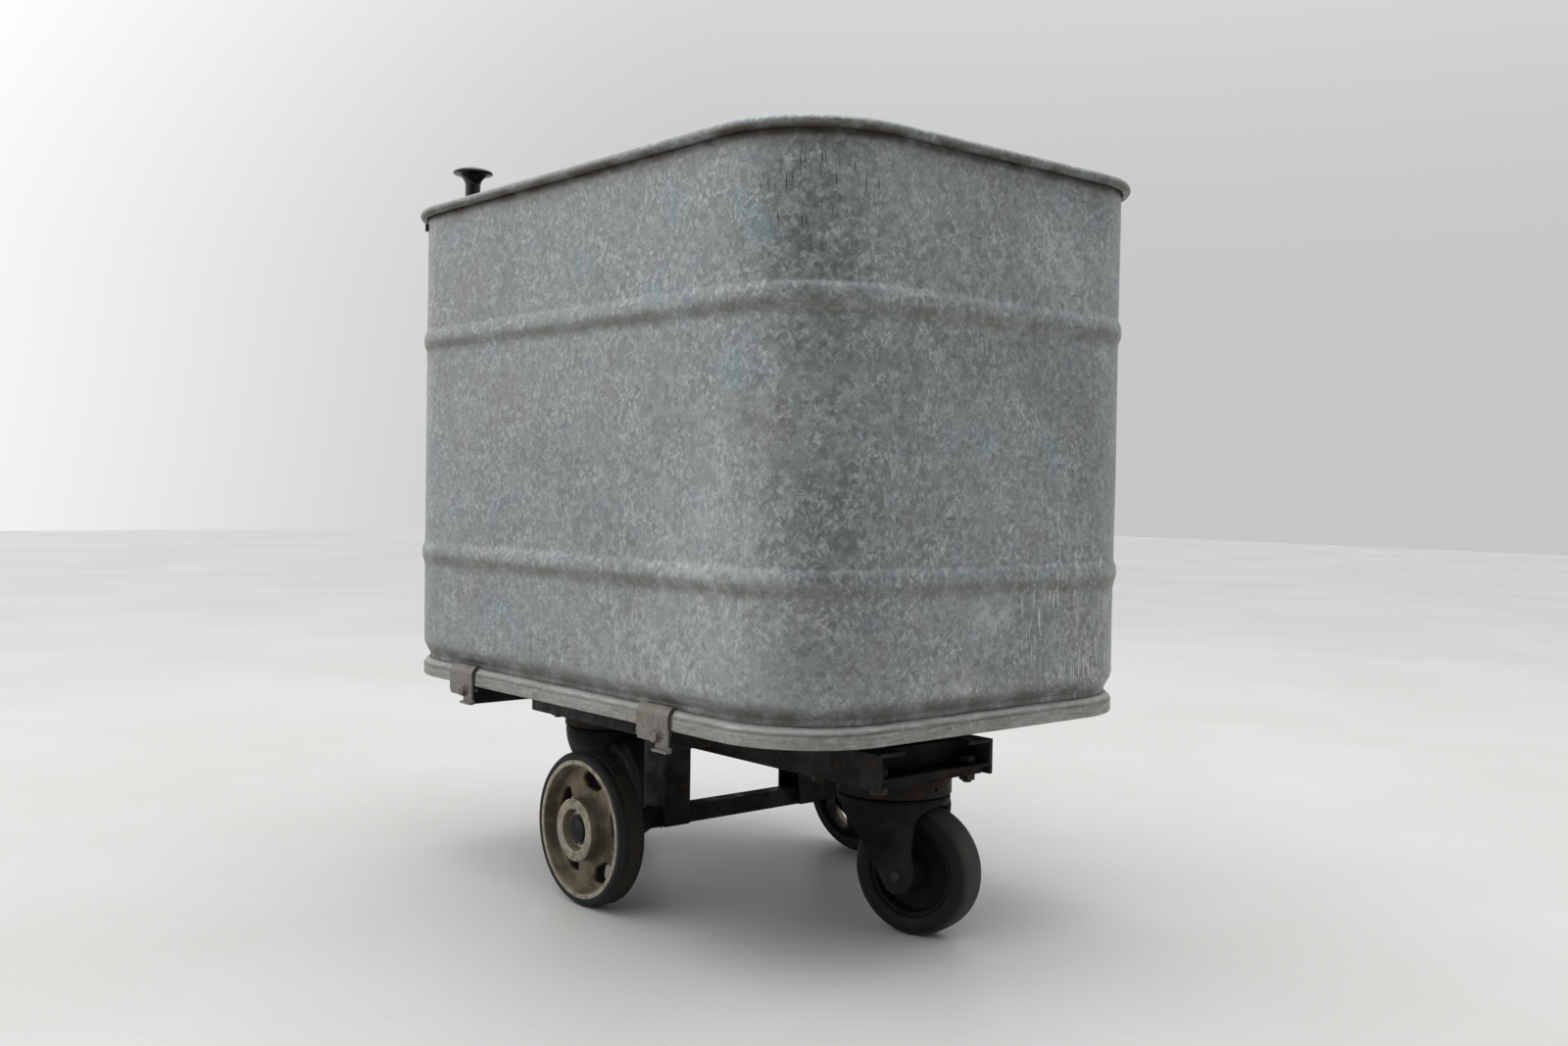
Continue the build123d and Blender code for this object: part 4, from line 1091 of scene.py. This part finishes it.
def caster_wheel(end_name, place):
    """Solid tyre on a disc centre."""
    rim, radius, half = CASTER["rim"], CASTER["radius"], CASTER["half"]
    spot = place @ shift(CASTER["trail"], 0, radius) @ turn(90, "X")
    body = f"{end_name}_caster_wheel"
    core = [(10.1, -46, 0.8), (19.5, -46, 1.5), (23.5, -5, 9), (50, -4, 6), (51, -20, 1.2), (rim, -20, 0.8)]
    core += [(rim, 20, 0.8), (51, 20, 1.2), (50, 4, 6), (23.5, 5, 9), (19.5, 46, 1.5), (10.1, 46, 0.8)]
    part = Part(f"{end_name}_caster_casting").add(lathe(divided(rounded(core, 6), 4, True), 128, True))
    part.make(body, DARK_CAST, "dark_casting", [f"{end_name}_caster_core"], spot, 45)
    flank = [(rim, 20, 0.8), (rim + 2, half - 2, 2), (radius - 10, half + 0.3, 12)]
    flank += [(radius - 1, half - 6, 6), (radius, half - 15, 10)]
    outline = [(r, -z, soft) for r, z, soft in flank] + flank[::-1]

    def tread(point):
        return smooth(math.hypot(point.x, point.y), radius - 7, radius - 1) * 0.9

    part = Part(f"{end_name}_solid_tyre")
    part.add(lathe(divided(rounded(outline, 8), 3, True), 180, True), None, tread)
    part.make(body, TYRE, "caster_rubber", [f"{end_name}_caster_tyre"], spot, 50)


# ---------------- drain and lift rod

def lift_knob():
    """Glossy trumpet knob with a thin edge and a low dome."""
    low, high = span("lift_knob")
    centre = (low + high) / 2
    tall = high.z - low.z
    outline = [(5.1, 32), (5.1, 0.4), (5.6, 0), (12.4, 0), (13, 0.6), (12.6, 3.2), (11.4, 5.2), (11.0, 7.0)]
    flare = arc(27.6, tall - 27.5, 16.6, 180, 94, 16)
    outline += [(11.0, tall - 34)] + flare + arc(26.9, tall - 8.4, 2.1, -70, 62, 6)
    dome = (27.5 ** 2 + 6.2 ** 2) / 12.4
    for k in range(14, -1, -1):
        radius = 27.5 * k / 14
        outline.append((radius, tall - dome + math.sqrt(dome ** 2 - radius ** 2)))
    knob = Part("trumpet_knob").add(lathe(outline, 96))
    knob.make("drain_lift", KNOB, "knob_black", ["lift_knob"], shift(centre.x, centre.y, low.z), 50)


def drain_and_small_parts():
    lift_knob()
    looks = [("lift_rod", STEEL, 0), ("stop_collar", STEEL, 0.5), ("drain_plug", SEAL, 0)]
    looks += [("drain_gasket", SEAL, 0), ("drain_flange", BRASS, 0), ("drain_backnut", BRASS, 0.8)]
    looks += [("lift_bracket", CLIP, 0.8), ("bracket_bolt", FASTENER, 0.4), ("tub_floor", ZINC, 0)]
    looks += [("rim_wire", WIRE, 0), ("axle_washers", STEEL, 0.3), ("axle_circlips", FASTENER, 0.2)]
    for node, material, bevel in looks:
        dress(node, material, bevel)
    for side_name in SIDES:
        dress(f"wheel_bush_{side_name}", BRONZE, 0.3)
    for end_name in ENDS:
        dress(f"{end_name}_kingpin", STEEL, 0.4)
        dress(f"{end_name}_kingpin_nut", FASTENER, 0.8)
        dress(f"{end_name}_race_balls", STEEL)
        dress(f"{end_name}_caster_sleeve", STEEL)
        dress(f"{end_name}_thrust_washers", STEEL, 0.2)


# ---------------- stage, light and camera

# Each soft light: its direction, how far round it fades out (as a cosine), its gain and its tint.
SKY = (((-1, 1.15, 0.1), -1.0, 0.57, (1.0, 1.0, 1.01)),
       ((-0.95, -1.0, 0.20), 0.10, 0.80, (1.0, 0.995, 0.985)),
       ((1, 0.9, 0.15), 0.5, 0.175, (0.97, 0.99, 1.0)),
       ((1, -0.9, 0.1), 0.3, 0.10, (1.0, 1.0, 1.0)),
       ((0, 0, 1), 0.1, 0.75, (1.0, 1.0, 1.0)))


def stage():
    """Pale studio floor under a soft sky."""
    paint = Paint("studio_floor")
    cloud = paint.noise(700, detail=5)
    paint.colour = paint.mix(paint.fade(cloud, 0.35, 0.65), (0.60, 0.588, 0.570), (0.64, 0.632, 0.62))
    paint.layer(paint.patches(14, 0.60, 0.75, 0, 0.15, moved=2.0), (0.46, 0.44, 0.42))
    size = 14.0
    mesh = bpy.data.meshes.new("studio_floor")
    corners = [(-size, -size, 0), (size, -size, 0), (size, size, 0), (-size, size, 0)]
    mesh.from_pydata(corners, [], [(0, 1, 2, 3)])
    mesh.materials.append(paint.finish(0.45))
    linked("studio_floor", mesh)
    world = bpy.data.worlds.new("studio")
    world.use_nodes = True
    nodes = Nodes(world.node_tree, "Generated")
    total = (0, 0, 0)
    for axis, start, gain, tint in SKY:
        facing = nodes.vector("DOT_PRODUCT", nodes.place, Vector(axis).normalized())["Value"]
        lobe = nodes.fade(facing, start, 1.0, 0.0, gain)
        glow = nodes.add("ShaderNodeVectorMath", {0: tint, "Scale": lobe}, operation="SCALE")
        total = nodes.vector("ADD", total, glow["Vector"])["Vector"]
    nodes.put(world.node_tree.nodes["Background"].inputs["Color"], total)
    bpy.context.scene.world = world


def overhead_lamp():
    data = bpy.data.lights.new("overhead", "AREA")
    data.shape = "RECTANGLE"
    data.size, data.size_y = 4.5, 3.5
    data.energy = 60
    obj = linked("overhead", data)
    obj.location = (0.3, 0.2, 3.6)
    obj.rotation_euler = (-Vector((0.3, 0.2, 3.6))).to_track_quat("-Z", "Y").to_euler()


def camera():
    """The eye stands low off the tub's front right corner."""
    yaw, pitch, roll = 0.859888, 0.02467, 0.01652
    ahead = Vector((-math.sin(yaw) * math.cos(pitch), math.cos(yaw) * math.cos(pitch), -math.sin(pitch)))
    right = Vector((math.cos(yaw), math.sin(yaw), 0))
    up = right.cross(ahead)
    across = math.cos(roll) * right + math.sin(roll) * up
    upward = -math.sin(roll) * right + math.cos(roll) * up
    data = bpy.data.cameras.new("camera")
    data.lens = 33.78
    data.sensor_width = 36.0
    obj = linked("camera", data)
    axes = Matrix((across, upward, -ahead)).transposed().to_4x4()
    obj.matrix_world = Matrix.Translation((1.5999, -1.3105, 0.5510)) @ axes
    bpy.context.scene.camera = obj


tub()
for end_name in ENDS:
    for side_name in SIDES:
        clip(end_name, side_name)
clip_fasteners()
undercarriage()
plate_fasteners()
welds()
for side_name in SIDES:
    wheel_centre(side_name)
for end_name in ENDS:
    fork(end_name)
drain_and_small_parts()
stage()
overhead_lamp()
camera()
bpy.context.scene.view_settings.view_transform = "Standard"
